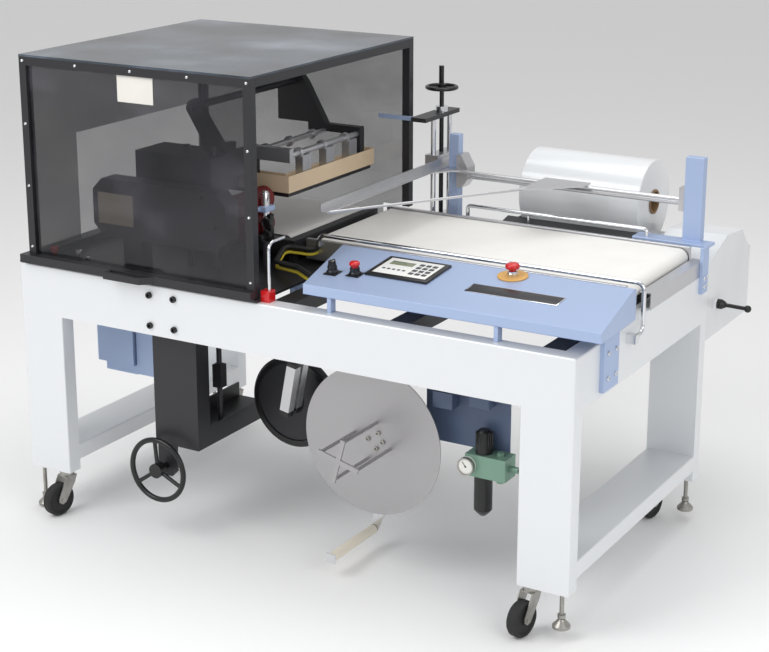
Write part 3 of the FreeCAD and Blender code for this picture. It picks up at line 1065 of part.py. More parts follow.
def hose(name, radius, drop):
    """A hose from the infeed bed, looped under the belt's end, to the console's left end."""
    bed_face = "infeed_near - side_gap - infeed_side"
    level = "belt_top - hose_drop - %s" % drop
    return tube(name,
                [("infeed_left + hose_in", bed_face, level),
                 ("infeed_left + hose_in", bed_face + " - hose_lead", level),
                 ("infeed_left - hose_loop", bed_face + " - 2 * hose_lead", level + " + hose_sag / 2"),
                 ("infeed_left - hose_loop + hose_sag", "hose_turn", level + " - hose_sag"),
                 ("deck_right + hose_sag / 2", "(hose_turn + hose_end) / 2", level),
                 (console_end("hose_end") + " - 0.75 * " + radius, "hose_end", level)], radius, "hose_bend")


hoses = [hose("air_hose", "hose_radius", "0"), hose("signal_cable", "cable_radius", "hose_apart")]
node("guard_rails", front_guard, clamp, rear_guard, rear_stay,
     fuse("film_bar_footed", film_bar, bar_foot), *hoses)

# ---------------------------------------------------------------- inverter tower
SCREW_Y = "((shaft_near + shaft_far) / 2)"
BASE_TOP = "(frame_top + tower_base_high)"
tower_block = span("tower_block", ("tower_base_left", "tower_base_right"),
                   (REAR_TUBE + " + 6", "tower_base_far"), ("frame_top", BASE_TOP))
tower_shafts = [cylinder("tower_shaft", "tower_shaft", "plate_low - " + BASE_TOP,
                         ("tower_x", y, BASE_TOP)) for y in ("shaft_near", "shaft_far")]
tower_plate = span("tower_plate", ("plate_left", "plate_right"), ("plate_near", "plate_far"),
                   ("plate_low", "plate_low + tower_plate"))
bearing = cylinder("tower_bearing", "bearing_radius", "bearing_high",
                   ("tower_x", SCREW_Y, "plate_low + tower_plate"))
screw_bore = cylinder("screw_bore", "screw_radius + fit", "plate_low",
                      ("tower_x", SCREW_Y, BASE_TOP + " - screw_step"))
sensor_arm = span("sensor_arm", ("sensor_left", "plate_left"),
                  ("sensor_y", "sensor_y + sensor_wide"), ("plate_low", "plate_low + sensor_wide"))
node("tower_frame", cut("tower_bored", fuse("tower_joined", tower_block, *tower_shafts, tower_plate,
                                            bearing), screw_bore), sensor_arm)

screw_low = BASE_TOP + " - screw_step + 1"
hand_parts = [cylinder("screw", "screw_radius", "wheel_z - (%s)" % screw_low,
                       ("tower_x", SCREW_Y, screw_low)),
              cylinder("hand_hub", "hand_hub", "hand_hub_high",
                       ("tower_x", SCREW_Y, "wheel_z - hand_hub_high / 2")),
              torus("hand_rim", "hand_ring", "hand_wire", ("tower_x", SCREW_Y, "wheel_z"))]
for i in range(3):
    arm = doc.addObject("Part::Cylinder", "hand_spoke")
    arm.setExpression("Radius", bound("spoke * 0.7"))
    arm.setExpression("Height", bound("hand_ring"))
    place(arm, ("tower_x", SCREW_Y, "wheel_z"),
          FreeCAD.Rotation(V(0, 0, 1), 120 * i) * FreeCAD.Rotation(V(0, 1, 0), 90))
    hand_parts.append(arm)
grip_x, grip_y = ring(1, "grip_angle", "hand_ring")[0]
hand_parts.append(cylinder("hand_grip", "grip_radius", "grip_high",
                           ("tower_x + " + grip_x, SCREW_Y + " + " + grip_y, "wheel_z")))
node("tower_screw", fuse("tower_screw_joined", *hand_parts))

# ---------------------------------------------------------------- film inverter head
carriage = cut("carriage_bored",
               span("carriage_block", ("carriage_left", "carriage_right"),
                    ("carriage_near", "carriage_far"), ("carriage_low", "carriage_high")),
               *[cylinder("carriage_bore", r + " + fit", "carriage_high - carriage_low + 2",
                          ("tower_x", y, "carriage_low - 1"))
                 for r, y in (("tower_shaft", "shaft_near"), ("tower_shaft", "shaft_far"),
                              ("screw_radius", SCREW_Y))])
angle_bar = prism("angle_bar", "XZ",
                  [("carriage_right", "bar_z"), ("carriage_right + bar_wide", "bar_z"),
                   ("carriage_right + bar_wide", "bar_z + bar_wall"),
                   ("carriage_right + bar_wall", "bar_z + bar_wall"),
                   ("carriage_right + bar_wall", "bar_z + bar_high"),
                   ("carriage_right", "bar_z + bar_high")],
                  "bar_far - bar_near", ("0", "bar_near", "0"))
BAR_EDGE = "(carriage_right + bar_wide)"
gusset = prism("gusset", "XY",
               [("carriage_right + bar_wall", "gusset_y - 60"), ("post_left + post_wide", "gusset_y + 20"),
                ("post_left + post_wide + 38", "gusset_y + 44"),
                ("post_left + post_wide + 38", "post_near - seat"),
                ("carriage_right + bar_wall", "post_near - seat")],
               "wing_thick", ("0", "0", "bar_z - wing_thick"))
pentagon = prism("pentagon", "XZ",
                 [("post_left + post_wide + seat", "tube_z - 45"), ("post_left + post_wide + 20", "tube_z - 45"),
                  ("post_left + post_wide + 38", "tube_z - 18"), ("post_left + post_wide + 38", "tube_z + 20"),
                  ("post_left + post_wide + 16", "tube_z + 58"), ("post_left + post_wide + seat", "tube_z + 58")],
                 "post_deep + 22", ("0", "post_near - 14", "0"))
film_tubes = [cylinder("film_tube", "tube_radius", "clamp_left - post_left - post_wide - 38",
                       ("post_left + post_wide + 38", y, z), "x")
              for y, z in (("post_near + 6", "tube_z"), ("post_near + 24", "tube_z - 16"))]
slide_clamp = span("slide_clamp", ("clamp_left", "right_post - seat"),
                   ("post_near", "post_near + post_deep"),
                   ("tube_z - clamp_high / 2", "tube_z + clamp_high / 2"))
wing = prism("wing", "XY",
             [("wing_left", "wing_near"), ("wing_tip_x", "wing_tip_y"), ("wing_tip_x", "wing_far"),
              ("wing_left", "wing_far")], "wing_thick", ("0", "0", "tube_z + tube_radius"))
rod_start = V(value(BAR_EDGE) - 2, value("bar_near") + 12, value("bar_z + bar_wall / 2"))
rod_end_point = V(value("wing_left") + 12, value("wing_near") + 24, value("tube_z + tube_radius + wing_thick / 2"))
fold_rod = tube("fold_rod", [tuple(rod_start), tuple(rod_end_point)], "rod_thin", "1")
wing_rod = cylinder("wing_rod", "rod_thin", "wing_left - carriage_right - bar_wall",
                    ("carriage_right + bar_wall", "wing_far - 52", "tube_z + tube_radius + wing_thick / 2"), "x")
node("inverter_head", fuse("inverter_joined", carriage, angle_bar, gusset, pentagon, *film_tubes,
                           slide_clamp, wing, fold_rod, wing_rod))

# ---------------------------------------------------------------- film unwind
CRADLE_Z = "(roll_z - sqrt((roll_radius + cradle_roller + seat)^2 - cradle_spread^2))"
cheek_outline = [("frame_depth", "cradle_low - 30"), ("frame_depth + 90", "cradle_low"),
                 ("cradle_far - 40", "cradle_high - 90"), ("cradle_far", "cradle_high - 60"),
                 ("cradle_far", "cradle_high - 10"), ("cradle_far - 20", "cradle_high"),
                 ("frame_depth + 60", "cradle_high"), ("frame_depth", "cradle_high - 40")]
cradle_cheeks = [prism("cradle_cheek", "YZ", cheek_outline, "cradle_sheet", (x, "0", "0"))
                 for x in ("cradle_left", "cradle_right")]
cradle_bores = [cylinder("cradle_bore", "cradle_shaft + fit", "cradle_right - cradle_left + 40",
                         ("cradle_left - 10", "roll_y + %s" % side, CRADLE_Z), "x")
                for side in ("-cradle_spread", "cradle_spread")]
cradle_tie = span("cradle_tie", ("cradle_left + cradle_sheet", "cradle_right"),
                  ("frame_depth", "frame_depth + 8"), ("cradle_low", "frame_top - 24"))
cradle = cut("cradle_bored", fuse("cradle_joined", *cradle_cheeks, cradle_tie), *cradle_bores)
tray = prism("film_tray", "YZ",
             [("frame_depth + 2", "frame_top"), ("frame_depth + 2", "tray_z - 16"),
              ("tray_far", "tray_z"), ("tray_far", "tray_z - 3"), ("frame_depth + 6", "tray_z - 19"),
              ("frame_depth + 6", "frame_top - 20"), ("frame_depth", "frame_top - 20"),
              ("frame_depth", "frame_top")], "tray_right - cradle_left - 40",
             ("cradle_left + 20", "0", "0"))
node("unwind_cradle", cradle, tray)
for name, side in (("cradle_roller_near", "-cradle_spread"), ("cradle_roller_far", "cradle_spread")):
    long = "(cradle_right - cradle_left - cradle_sheet - 2)"
    node(name, turned(name + "_turned",
                      [("0", "-cradle_sheet - 3"), ("cradle_shaft", "-cradle_sheet - 3"), ("cradle_shaft", "0"),
                       ("cradle_roller", "0"), ("cradle_roller", long), ("cradle_shaft", long),
                       ("cradle_shaft", long + " + cradle_sheet + 3"), ("0", long + " + cradle_sheet + 3")],
                      ("cradle_left + cradle_sheet + 1", "roll_y + %s" % side, CRADLE_Z), "x"))
node("film_roll", turned("film_wound", [("core_radius", "0"), ("roll_radius - 2", "0"), ("roll_radius", "2"),
                                        ("roll_radius", "roll_right - roll_left - 2"),
                                        ("roll_radius - 2", "roll_right - roll_left"),
                                        ("core_radius", "roll_right - roll_left")],
                         ("roll_left", "roll_y", "roll_z"), "x"),
     turned("film_core", [("core_radius - core_wall", "-4"), ("core_radius", "-4"),
                          ("core_radius", "roll_right - roll_left + 4"),
                          ("core_radius - core_wall", "roll_right - roll_left + 4")],
            ("roll_left", "roll_y", "roll_z"), "x"))

# ---------------------------------------------------------------- film drive cabinet
cabinet = prism("cabinet", "YZ",
                [("frame_depth", "cabinet_low"), ("cabinet_far", "cabinet_low"),
                 ("cabinet_far", "cabinet_rear_high - cabinet_shoulder"), ("cabinet_edge_y", "cabinet_rear_high"),
                 ("cabinet_slope_y", "cabinet_slope"), ("cabinet_peak_y", "cabinet_peak"),
                 ("frame_depth", "cabinet_front_high")],
                "cabinet_right - cabinet_left", ("cabinet_left", "0", "0"))
lever_seat = cylinder("lever_seat", "lever_hub + 3", "4", ("cabinet_right", "lever_y", "lever_z"), "x")
lever_bore = cylinder("lever_bore", "lever_shaft + fit", "20", ("cabinet_right - 14", "lever_y", "lever_z"), "x")
cabinet_void = prism("cabinet_void", "YZ",
                     [("frame_depth + sheet", "cabinet_low + sheet"),
                      ("cabinet_far - sheet", "cabinet_low + sheet"),
                      ("cabinet_far - sheet", "cabinet_rear_high - cabinet_shoulder - sheet"),
                      ("cabinet_edge_y - sheet", "cabinet_rear_high - sheet"),
                      ("cabinet_slope_y - sheet", "cabinet_slope - sheet"),
                      ("cabinet_peak_y", "cabinet_peak - sheet"),
                      ("frame_depth + sheet", "cabinet_front_high - sheet")],
                     "cabinet_right - cabinet_left - 2 * sheet", ("cabinet_left + sheet", "0", "0"))
node("drive_cabinet", cut("cabinet_bored", fuse("cabinet_joined", cabinet, lever_seat), cabinet_void,
                          lever_bore))
lever = fuse("lever_joined",
             cylinder("lever_shaft", "lever_shaft", "20", ("cabinet_right - 12", "lever_y", "lever_z"), "x"),
             turned("lever_hub", [("0", "0"), ("lever_hub", "0"), ("lever_hub", "lever_hub_long"),
                                  ("lever_hub * 0.6", "lever_hub_long + 12"), ("0", "lever_hub_long + 12")],
                    ("cabinet_right + 4 + seat", "lever_y", "lever_z"), "x"),
             tube("lever_rod", [("cabinet_right + 10", "lever_y", "lever_z"),
                                ("cabinet_right + lever_out", "lever_y + lever_side", "lever_z - lever_side / 2")],
                  "lever_rod", "1"),
             sphere("lever_ball", "lever_ball", ("cabinet_right + lever_out", "lever_y + lever_side",
                                                 "lever_z - lever_side / 2")))
node("cabinet_lever", lever)

# ---------------------------------------------------------------- trim winder
winder_disc = turned("winder_disc",
                     [("0", "0"), ("winder_radius", "0"), ("winder_radius", "winder_sheet"),
                      ("winder_hub", "winder_sheet"), ("winder_hub", "winder_hub_long"),
                      ("winder_shaft", "winder_hub_long"), ("winder_shaft", "winder_shaft_long"),
                      ("0", "winder_shaft_long")], ("winder_x", "winder_y", "winder_z"), "y")
arbor_rods = [cylinder("arbor_rod", "arbor_rod", "arbor_long",
                       ("winder_x + " + dx, "winder_y - arbor_long", "winder_z + " + dz), "y")
              for dx, dz in ring(4, "arbor_angle", "arbor_ring")]
arbor_links = []
for quarter in (0, 90):
    link = doc.addObject("Part::Box", "arbor_link")
    link.setExpression("Length", bound("2 * arbor_ring + 14"))
    link.setExpression("Width", bound("arbor_link"))
    link.setExpression("Height", bound("14"))
    turn = FreeCAD.Rotation(V(0, 1, 0), -(value("arbor_angle") + quarter))
    reach = turn.multVec(V(-value("arbor_ring") - 7, 0, -7))
    place(link, ("winder_x + (%g)" % reach.x, "winder_y - arbor_long", "winder_z + (%g)" % reach.z), turn)
    arbor_links.append(link)
node("trim_winder", fuse("trim_winder_joined", winder_disc, *arbor_rods, *arbor_links))

HANGER = ("winder_x - hanger_wide / 2", "winder_x + hanger_wide / 2")
PIVOT_Z = "(winder_z - pivot_drop)"
hanger = cut("hanger_bored",
             fuse("hanger_joined",
                  span("hanger_drop", HANGER, ("hanger_y", "hanger_y + hanger_sheet"),
                       ("hanger_low", "hanger_high")),
                  span("hanger_arm", HANGER, ("tube_thin", "hanger_y"), ("hanger_arm_low", "hanger_high")),
                  cylinder("bearing_shell", "bearing_shell", "bearing_far - bearing_near",
                           ("winder_x", "bearing_near", "winder_z"), "y"),
                  cylinder("pivot_pin", "pivot_pin", "pivot_far - hanger_y",
                           ("winder_x", "hanger_y", PIVOT_Z), "y")),
             cylinder("bearing_bore", "winder_shaft + fit", "bearing_far - bearing_near + 4",
                      ("winder_x", "bearing_near - 2", "winder_z"), "y"))
node("winder_hanger", hanger)

dancer_run = "((dancer_x - winder_x)^2 + (dancer_z - %s)^2)" % PIVOT_Z
dancer_plate = prism("dancer_plate", "XZ",
                     [("winder_x - 16", PIVOT_Z + " + 4"), ("winder_x - 4", PIVOT_Z + " + 18"),
                      ("winder_x + 16", PIVOT_Z + " + 6"), ("winder_x + 14", PIVOT_Z + " - 12"),
                      ("dancer_x + 13", "dancer_z - 4"), ("dancer_x + 2", "dancer_z - 14"),
                      ("dancer_x - 13", "dancer_z - 4"), ("dancer_x - 12", "dancer_z + 10")],
                     "dancer_sheet", ("0", "dancer_y", "0"))
dancer_axle = cylinder("dancer_axle", "dancer_shaft", "dancer_y - dancer_near + 22",
                       ("dancer_x", "dancer_near - 22", "dancer_z"), "y")
dancer_cap = span("dancer_cap", ("dancer_x - 15", "dancer_x + 15"), ("dancer_near - 24", "dancer_near - 18"),
                  ("dancer_z - 13", "dancer_z + 13"))
pivot_bore = cylinder("pivot_bore", "pivot_pin + fit", "dancer_sheet + 4",
                      ("winder_x", "dancer_y - 2", PIVOT_Z), "y")
node("dancer_arm", fuse("dancer_arm_joined", cut("dancer_plate_bored", dancer_plate, pivot_bore),
                        dancer_axle, dancer_cap))
node("dancer_roller", turned("dancer_tube",
                             [("dancer_shaft + fit", "0"), ("dancer_roller", "0"),
                              ("dancer_roller", "dancer_y - dancer_near + 14"),
                              ("dancer_shaft + fit", "dancer_y - dancer_near + 14")],
                             ("dancer_x", "dancer_near - 16", "dancer_z"), "y"))

# ---------------------------------------------------------------- pneumatics under the infeed
BOARD_TOP = "(frame_top - cross_high)"
board = fuse("board_joined",
             span("board", ("board_left", "board_right"), ("board_y", "board_y + board_sheet"),
                  ("board_low", BOARD_TOP)),
             span("board_shelf", ("board_left", "board_right"), ("tube_thin", "board_y"),
                  (BOARD_TOP + " - board_sheet", BOARD_TOP)))
valves = [span("valve", (x, x + " + 60"), ("board_y - 40", "board_y"), (z, z + " + 46"))
          for x, z in (("board_left + 40", "board_low + 110"), ("board_left + 150", "board_low + 130"))]
FRL_Y = "(frl_near + frl_deep / 2)"
frl_body = cut("frl_bored",
               fuse("frl_joined",
                    span("frl_block", ("frl_left", "frl_left + frl_long"), ("frl_near", "board_y"),
                         ("frl_low", "frl_low + frl_high")),
                    turned("frl_bowl", [("0", "0"), ("8", "0"), ("bowl_radius * 0.75", "10"),
                                        ("bowl_radius", "18"), ("bowl_radius", "bowl_high"),
                                        ("0", "bowl_high")],
                           ("knob_x", FRL_Y, "frl_low - bowl_high")),
                    turned("frl_knob", [("0", "0"), ("frl_knob", "0"), ("frl_knob - 4", "frl_knob_high - 6"),
                                        ("frl_knob - 9", "frl_knob_high"), ("0", "frl_knob_high")],
                           ("knob_x", FRL_Y, "frl_low + frl_high")),
                    cylinder("gauge", "gauge_radius", "gauge_deep",
                             ("gauge_x", "frl_near - gauge_deep", "frl_low + frl_high / 2"), "y"),
                    cylinder("inlet", "inlet_radius", "inlet_long",
                             ("frl_left + frl_long", FRL_Y, "frl_low + frl_high / 2"), "x"),
                    cylinder("drain_top", "10", "10", ("nipple_x", FRL_Y, "frl_low + frl_high")),
                    cylinder("drain_low", "10", "14", ("nipple_x", FRL_Y, "frl_low - 14"))),
               cylinder("inlet_bore", "inlet_bore", "inlet_long",
                        ("frl_left + frl_long + 4", FRL_Y, "frl_low + frl_high / 2"), "x"))
node("valve_board", board, *valves)
node("air_regulator", frl_body)

# ---------------------------------------------------------------- boxes and cylinders under the deck
def sheet_box(name, xs, ys, zs):
    """A closed box of folded sheet."""
    void = [("(%s) + sheet" % low, "(%s) - sheet" % high) for low, high in (xs, ys, zs)]
    return cut(name, span(name + "_skin", xs, ys, zs), span(name + "_void", *void))


control_box = sheet_box("control_box", ("box_left", "box_right"), ("box_near", "box_far"),
                        ("box_low", "frame_top"))
box_foot = span("box_foot", ("box_left + 20", "box_right + 4"), ("box_near + 14", "box_far"),
                ("box_low - tray_drop", "box_low"))
relay_box = sheet_box("relay_box", ("box_right + 4", "relay_right"), ("relay_near", "box_far"),
                 ("relay_low", "frame_top"))
drum = fuse("drum_joined",
            turned("drum", [("0", "0"), ("drum_radius", "0"), ("drum_radius", "drum_deep"),
                            ("drum_radius - 16", "drum_deep"), ("drum_radius - 22", "drum_deep - 12"),
                            ("34", "drum_deep - 12"), ("34", "drum_deep + 14"), ("0", "drum_deep + 14")],
                   ("drum_x", "drum_y", "drum_z"), "y"),
            span("drum_strap", ("drum_x - drum_strap / 2", "drum_x + drum_strap / 2"),
                 ("drum_y + drum_deep + 14", "drum_y + drum_deep + 14 + drum_sheet"),
                 ("drum_z - drum_strap / 2", "frame_top")))
rams = []
for i in range(2):
    y = "ram_near + %d * ram_step" % i
    ram = doc.addObject("Part::Box", "ram")
    for prop, text in (("Length", "ram_side"), ("Width", "ram_side"), ("Height", "ram_long")):
        ram.setExpression(prop, bound(text))
    place(ram, ("ram_x", y, "ram_z"), FreeCAD.Rotation(V(0, 1, 0), value("ram_lean")))
    rams.append(ram)
    top_x = "ram_x + ram_long * sin(ram_lean * 1 deg)"
    rams.append(span("ram_lug", (top_x + " + 6", top_x + " + ram_side - 6"),
                     (y + " + 9", y + " + ram_side - 9"),
                     ("ram_z + ram_long * cos(ram_lean * 1 deg) - 12", "frame_top")))
node("underframe_units", control_box, box_foot, relay_box, fuse("rams_joined", *rams), drum)

# ---------------------------------------------------------------- checks and STEP files
doc.recompute()
for obj in doc.Objects:
    if "Invalid" in obj.State or "Error" in obj.State:
        raise RuntimeError("%s failed to rebuild: %s" % (obj.Label, obj.State))
os.makedirs("parts", exist_ok=True)
for obj in nodes:
    shape = obj.Shape
    if shape.isNull() or not shape.isValid() or not shape.Solids:
        raise RuntimeError("%s has no valid solid" % obj.Label)
    shape.exportStep("parts/%s.step" % obj.Label)
whole = Part.makeCompound([obj.Shape for obj in nodes]).BoundBox
print("%d nodes, box X %.1f..%.1f Y %.1f..%.1f Z %.1f..%.1f"
      % (len(nodes), whole.XMin, whole.XMax, whole.YMin, whole.YMax, whole.ZMin, whole.ZMax))
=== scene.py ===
"""L bar sealer: finishes, fittings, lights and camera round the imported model."""
import json
import math

import bmesh
import bpy
from bpy.props import FloatProperty, FloatVectorProperty, IntProperty, PointerProperty
from mathutils import Matrix, Vector

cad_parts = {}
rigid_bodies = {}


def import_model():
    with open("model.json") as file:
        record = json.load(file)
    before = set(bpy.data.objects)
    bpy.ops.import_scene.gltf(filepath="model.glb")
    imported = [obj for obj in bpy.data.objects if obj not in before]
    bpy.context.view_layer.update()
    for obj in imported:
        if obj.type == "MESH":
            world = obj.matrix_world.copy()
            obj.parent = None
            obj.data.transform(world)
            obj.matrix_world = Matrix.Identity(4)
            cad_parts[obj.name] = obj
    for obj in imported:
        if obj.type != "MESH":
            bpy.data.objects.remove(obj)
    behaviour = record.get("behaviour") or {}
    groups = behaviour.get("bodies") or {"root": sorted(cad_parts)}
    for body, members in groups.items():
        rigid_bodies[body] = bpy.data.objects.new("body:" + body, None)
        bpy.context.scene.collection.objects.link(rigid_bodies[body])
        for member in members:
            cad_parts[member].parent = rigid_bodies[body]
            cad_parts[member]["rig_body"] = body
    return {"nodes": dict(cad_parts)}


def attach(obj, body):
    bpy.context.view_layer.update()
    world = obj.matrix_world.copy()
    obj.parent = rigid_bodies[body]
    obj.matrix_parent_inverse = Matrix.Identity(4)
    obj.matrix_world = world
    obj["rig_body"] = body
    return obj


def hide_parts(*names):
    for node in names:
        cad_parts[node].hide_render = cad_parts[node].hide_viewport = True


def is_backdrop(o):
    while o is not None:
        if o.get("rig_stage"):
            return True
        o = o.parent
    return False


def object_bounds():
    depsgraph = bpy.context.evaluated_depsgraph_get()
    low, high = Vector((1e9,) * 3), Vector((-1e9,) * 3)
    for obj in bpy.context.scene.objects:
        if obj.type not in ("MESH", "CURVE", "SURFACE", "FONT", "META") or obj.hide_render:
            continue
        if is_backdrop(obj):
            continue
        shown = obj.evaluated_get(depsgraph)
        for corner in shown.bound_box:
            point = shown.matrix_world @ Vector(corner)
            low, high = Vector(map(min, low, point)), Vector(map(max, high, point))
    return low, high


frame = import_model()

bl_info = {
    "name": "L bar sealer",
    "version": (1, 0, 0),
    "blender": (4, 5, 0),
    "location": "View3D > Sidebar > Sealer",
    "description": "Builds the fittings and finishes of an L bar sealer",
    "category": "Object",
}

# The machine's own zero is its front left floor corner; the model's is the middle of its plan.
CORNER = Vector((0.9465, 0.6275, 0.0))
X = Vector((1, 0, 0))
Y = Vector((0, 1, 0))
Z = Vector((0, 0, 1))


def at(x, y, z):
    """A point given in millimetres from the machine's front left floor corner."""
    return Vector((x, y, z)) / 1000 - CORNER


# ------------------------------------------------------------------ settings
def metres(name, value, description, low=0.0):
    return FloatProperty(name=name, description=description, default=value, min=low,
                         subtype="DISTANCE", unit="LENGTH")


def tint(name, value, description):
    return FloatVectorProperty(name=name, description=description, default=value, size=3,
                               min=0.0, max=1.0, subtype="COLOR_GAMMA")


class SealerSizes(bpy.types.PropertyGroup):
    """Sizes of the fittings that dress the machine."""
    edge: metres("Edge break", 0.0012, "Radius broken on painted sheet and bar edges")
    tube_edge: metres("Tube corner", 0.005, "Corner radius of the welded frame tube")
    screw: metres("Screw head", 0.0045, "Radius of a small button head screw")
    bolt: metres("Bolt head", 0.0095, "Radius of a frame bolt head")
    slope_rise: metres("Console rise", 0.030, "Rise of the console's sheet over its run")
    slope_run: metres("Console run", 0.308, "Depth over which the console's sheet rises", 0.001)
    steps: IntProperty(name="Round steps", description="Facets round a small turned piece",
                       default=32, min=8, max=96)


class SealerColours(bpy.types.PropertyGroup):
    """Paint, sheet and rubber colours of the machine."""
    frame: tint("Frame", (0.865, 0.878, 0.886), "Grey white frame paint")
    blue: tint("Blue", (0.455, 0.590, 0.755), "Blue panel paint")
    black: tint("Black", (0.075, 0.075, 0.08), "Black paint and anodised metal")
    smoke: tint("Smoke", (0.16, 0.16, 0.19), "Smoked acrylic")
    beige: tint("Beige", (0.85, 0.76, 0.64), "Seal frame channel")
    belt: tint("Belt", (0.93, 0.925, 0.91), "Conveyor belt")
    film: tint("Film", (0.90, 0.91, 0.92), "Wound film")
    cabinet: tint("Cabinet", (0.87, 0.88, 0.89), "Rear cabinet paint")
    green: tint("Green", (0.28, 0.50, 0.40), "Regulator casting")
    red: tint("Red", (0.80, 0.05, 0.07), "Buttons")
    rubber: tint("Rubber", (0.09, 0.09, 0.095), "Wheel tyres")
    steel: tint("Steel", (0.72, 0.72, 0.72), "Bare and zinc plated steel")
    backdrop: tint("Backdrop", (0.97, 0.97, 0.97), "Floor and background")


def linear(colour, gain=1.0):
    """A display colour as the linear colour a shader takes."""
    def one(c):
        return c / 12.92 if c <= 0.04045 else ((c + 0.055) / 1.055) ** 2.4
    return tuple(min(1.0, one(c) * gain) for c in colour) + (1.0,)


# ------------------------------------------------------------------ materials
def wire(tree, source, target):
    tree.links.new(source, target)


def noise(tree, coords, scale, detail=4.0, stretch=None):
    """Noise on object coordinates, optionally stretched along an axis."""
    if stretch is not None:
        mapping = tree.nodes.new("ShaderNodeMapping")
        mapping.inputs["Scale"].default_value = stretch
        wire(tree, coords, mapping.inputs["Vector"])
        coords = mapping.outputs["Vector"]
    node = tree.nodes.new("ShaderNodeTexNoise")
    node.inputs["Scale"].default_value = scale
    node.inputs["Detail"].default_value = detail
    wire(tree, coords, node.inputs["Vector"])
    return node.outputs["Fac"]


def ramp(tree, fac, stops):
    node = tree.nodes.new("ShaderNodeValToRGB")
    wire(tree, fac, node.inputs["Fac"])
    elements = node.color_ramp.elements
    while len(elements) < len(stops):
        elements.new(0.5)
    for element, (position, colour) in zip(elements, stops):
        element.position = position
        element.color = colour
    return node.outputs["Color"]


def spread(tree, fac, low, high):
    node = tree.nodes.new("ShaderNodeMapRange")
    node.inputs["To Min"].default_value = low
    node.inputs["To Max"].default_value = high
    wire(tree, fac, node.inputs["Value"])
    return node.outputs["Result"]


def finish(name, colour, rough=0.4, metal=0.0, mottle=0.08, mottle_scale=6.0, grain=900.0,
           bump=0.04, stretch=None, coat=0.0, alpha=1.0, rough_spread=0.08, specular=0.5,
           scuff=0.0):
    """A surface with slow colour drift, fine grain, uneven gloss and optional scuffs."""
    if name in bpy.data.materials:
        return bpy.data.materials[name]
    material = bpy.data.materials.new(name)
    material.use_nodes = True
    tree = material.node_tree
    shader = tree.nodes["Principled BSDF"]
    coords = tree.nodes.new("ShaderNodeTexCoord").outputs["Object"]
    base = linear(colour)
    dark = linear(colour, 1.0 - mottle)
    light = linear(colour, 1.0 + mottle * 0.6)
    drift = ramp(tree, noise(tree, coords, mottle_scale, 5.0, stretch),
                 [(0.30, dark), (0.52, base), (0.74, light)])
    if scuff:
        marks = ramp(tree, noise(tree, coords, 38.0, 9.0, stretch),
                     [(0.62, (0, 0, 0, 1)), (0.70, (1, 1, 1, 1))])
        mix = tree.nodes.new("ShaderNodeMix")
        mix.data_type = "RGBA"
        mix.inputs["B"].default_value = linear(colour, 1.0 - scuff)
        wire(tree, marks, mix.inputs["Factor"])
        wire(tree, drift, mix.inputs["A"])
        drift = mix.outputs["Result"]
    wire(tree, drift, shader.inputs["Base Color"])
    grit = noise(tree, coords, grain, 3.0, stretch)
    relief = tree.nodes.new("ShaderNodeBump")
    relief.inputs["Strength"].default_value = bump
    relief.inputs["Distance"].default_value = 0.001
    wire(tree, grit, relief.inputs["Height"])
    wire(tree, relief.outputs["Normal"], shader.inputs["Normal"])
    gloss = spread(tree, noise(tree, coords, 24.0, 6.0, stretch),
                   max(0.02, rough - rough_spread), min(1.0, rough + rough_spread))
    wire(tree, gloss, shader.inputs["Roughness"])
    shader.inputs["Metallic"].default_value = metal
    shader.inputs["Coat Weight"].default_value = coat
    shader.inputs["Coat Roughness"].default_value = 0.12
    shader.inputs["Specular IOR Level"].default_value = specular
    shader.inputs["Alpha"].default_value = alpha
    return material


def colours():
    return bpy.context.scene.sealer_colours


def sizes():
    return bpy.context.scene.sealer_sizes


def frame_paint():
    return finish("frame_paint", colours().frame, 0.34, mottle=0.035, grain=420, bump=0.05,
                  coat=0.25)


def blue_paint():
    return finish("blue_paint", colours().blue, 0.32, mottle=0.05, grain=520, bump=0.05, coat=0.3)


def black_paint():
    return finish("black_paint", colours().black, 0.42, mottle=0.2, grain=600, bump=0.06)


def charcoal():
    return finish("charcoal_cover", (0.20, 0.19, 0.215), 0.46, mottle=0.12, grain=1400, bump=0.12)


def bright_steel():
    return finish("bright_steel", colours().steel, 0.2, metal=1.0, mottle=0.06, grain=700,
                  bump=0.03)


def aluminium():
    return finish("aluminium", (0.80, 0.80, 0.81), 0.34, metal=0.9, mottle=0.06, grain=500,
                  bump=0.05, stretch=(1.0, 0.08, 1.0))


def zinc():
    return finish("zinc_plate", (0.66, 0.65, 0.63), 0.36, metal=0.85, mottle=0.16, mottle_scale=40,
                  grain=300, bump=0.06)


def black_plastic():
    return finish("black_plastic", (0.085, 0.085, 0.09), 0.3, mottle=0.1, grain=900, bump=0.05)


def rubber():
    return finish("wheel_rubber", colours().rubber, 0.62, mottle=0.2, grain=350, bump=0.14)


def bare_plate():
    return finish("bare_plate", (0.90, 0.89, 0.86), 0.4, mottle=0.05, grain=700, bump=0.03)


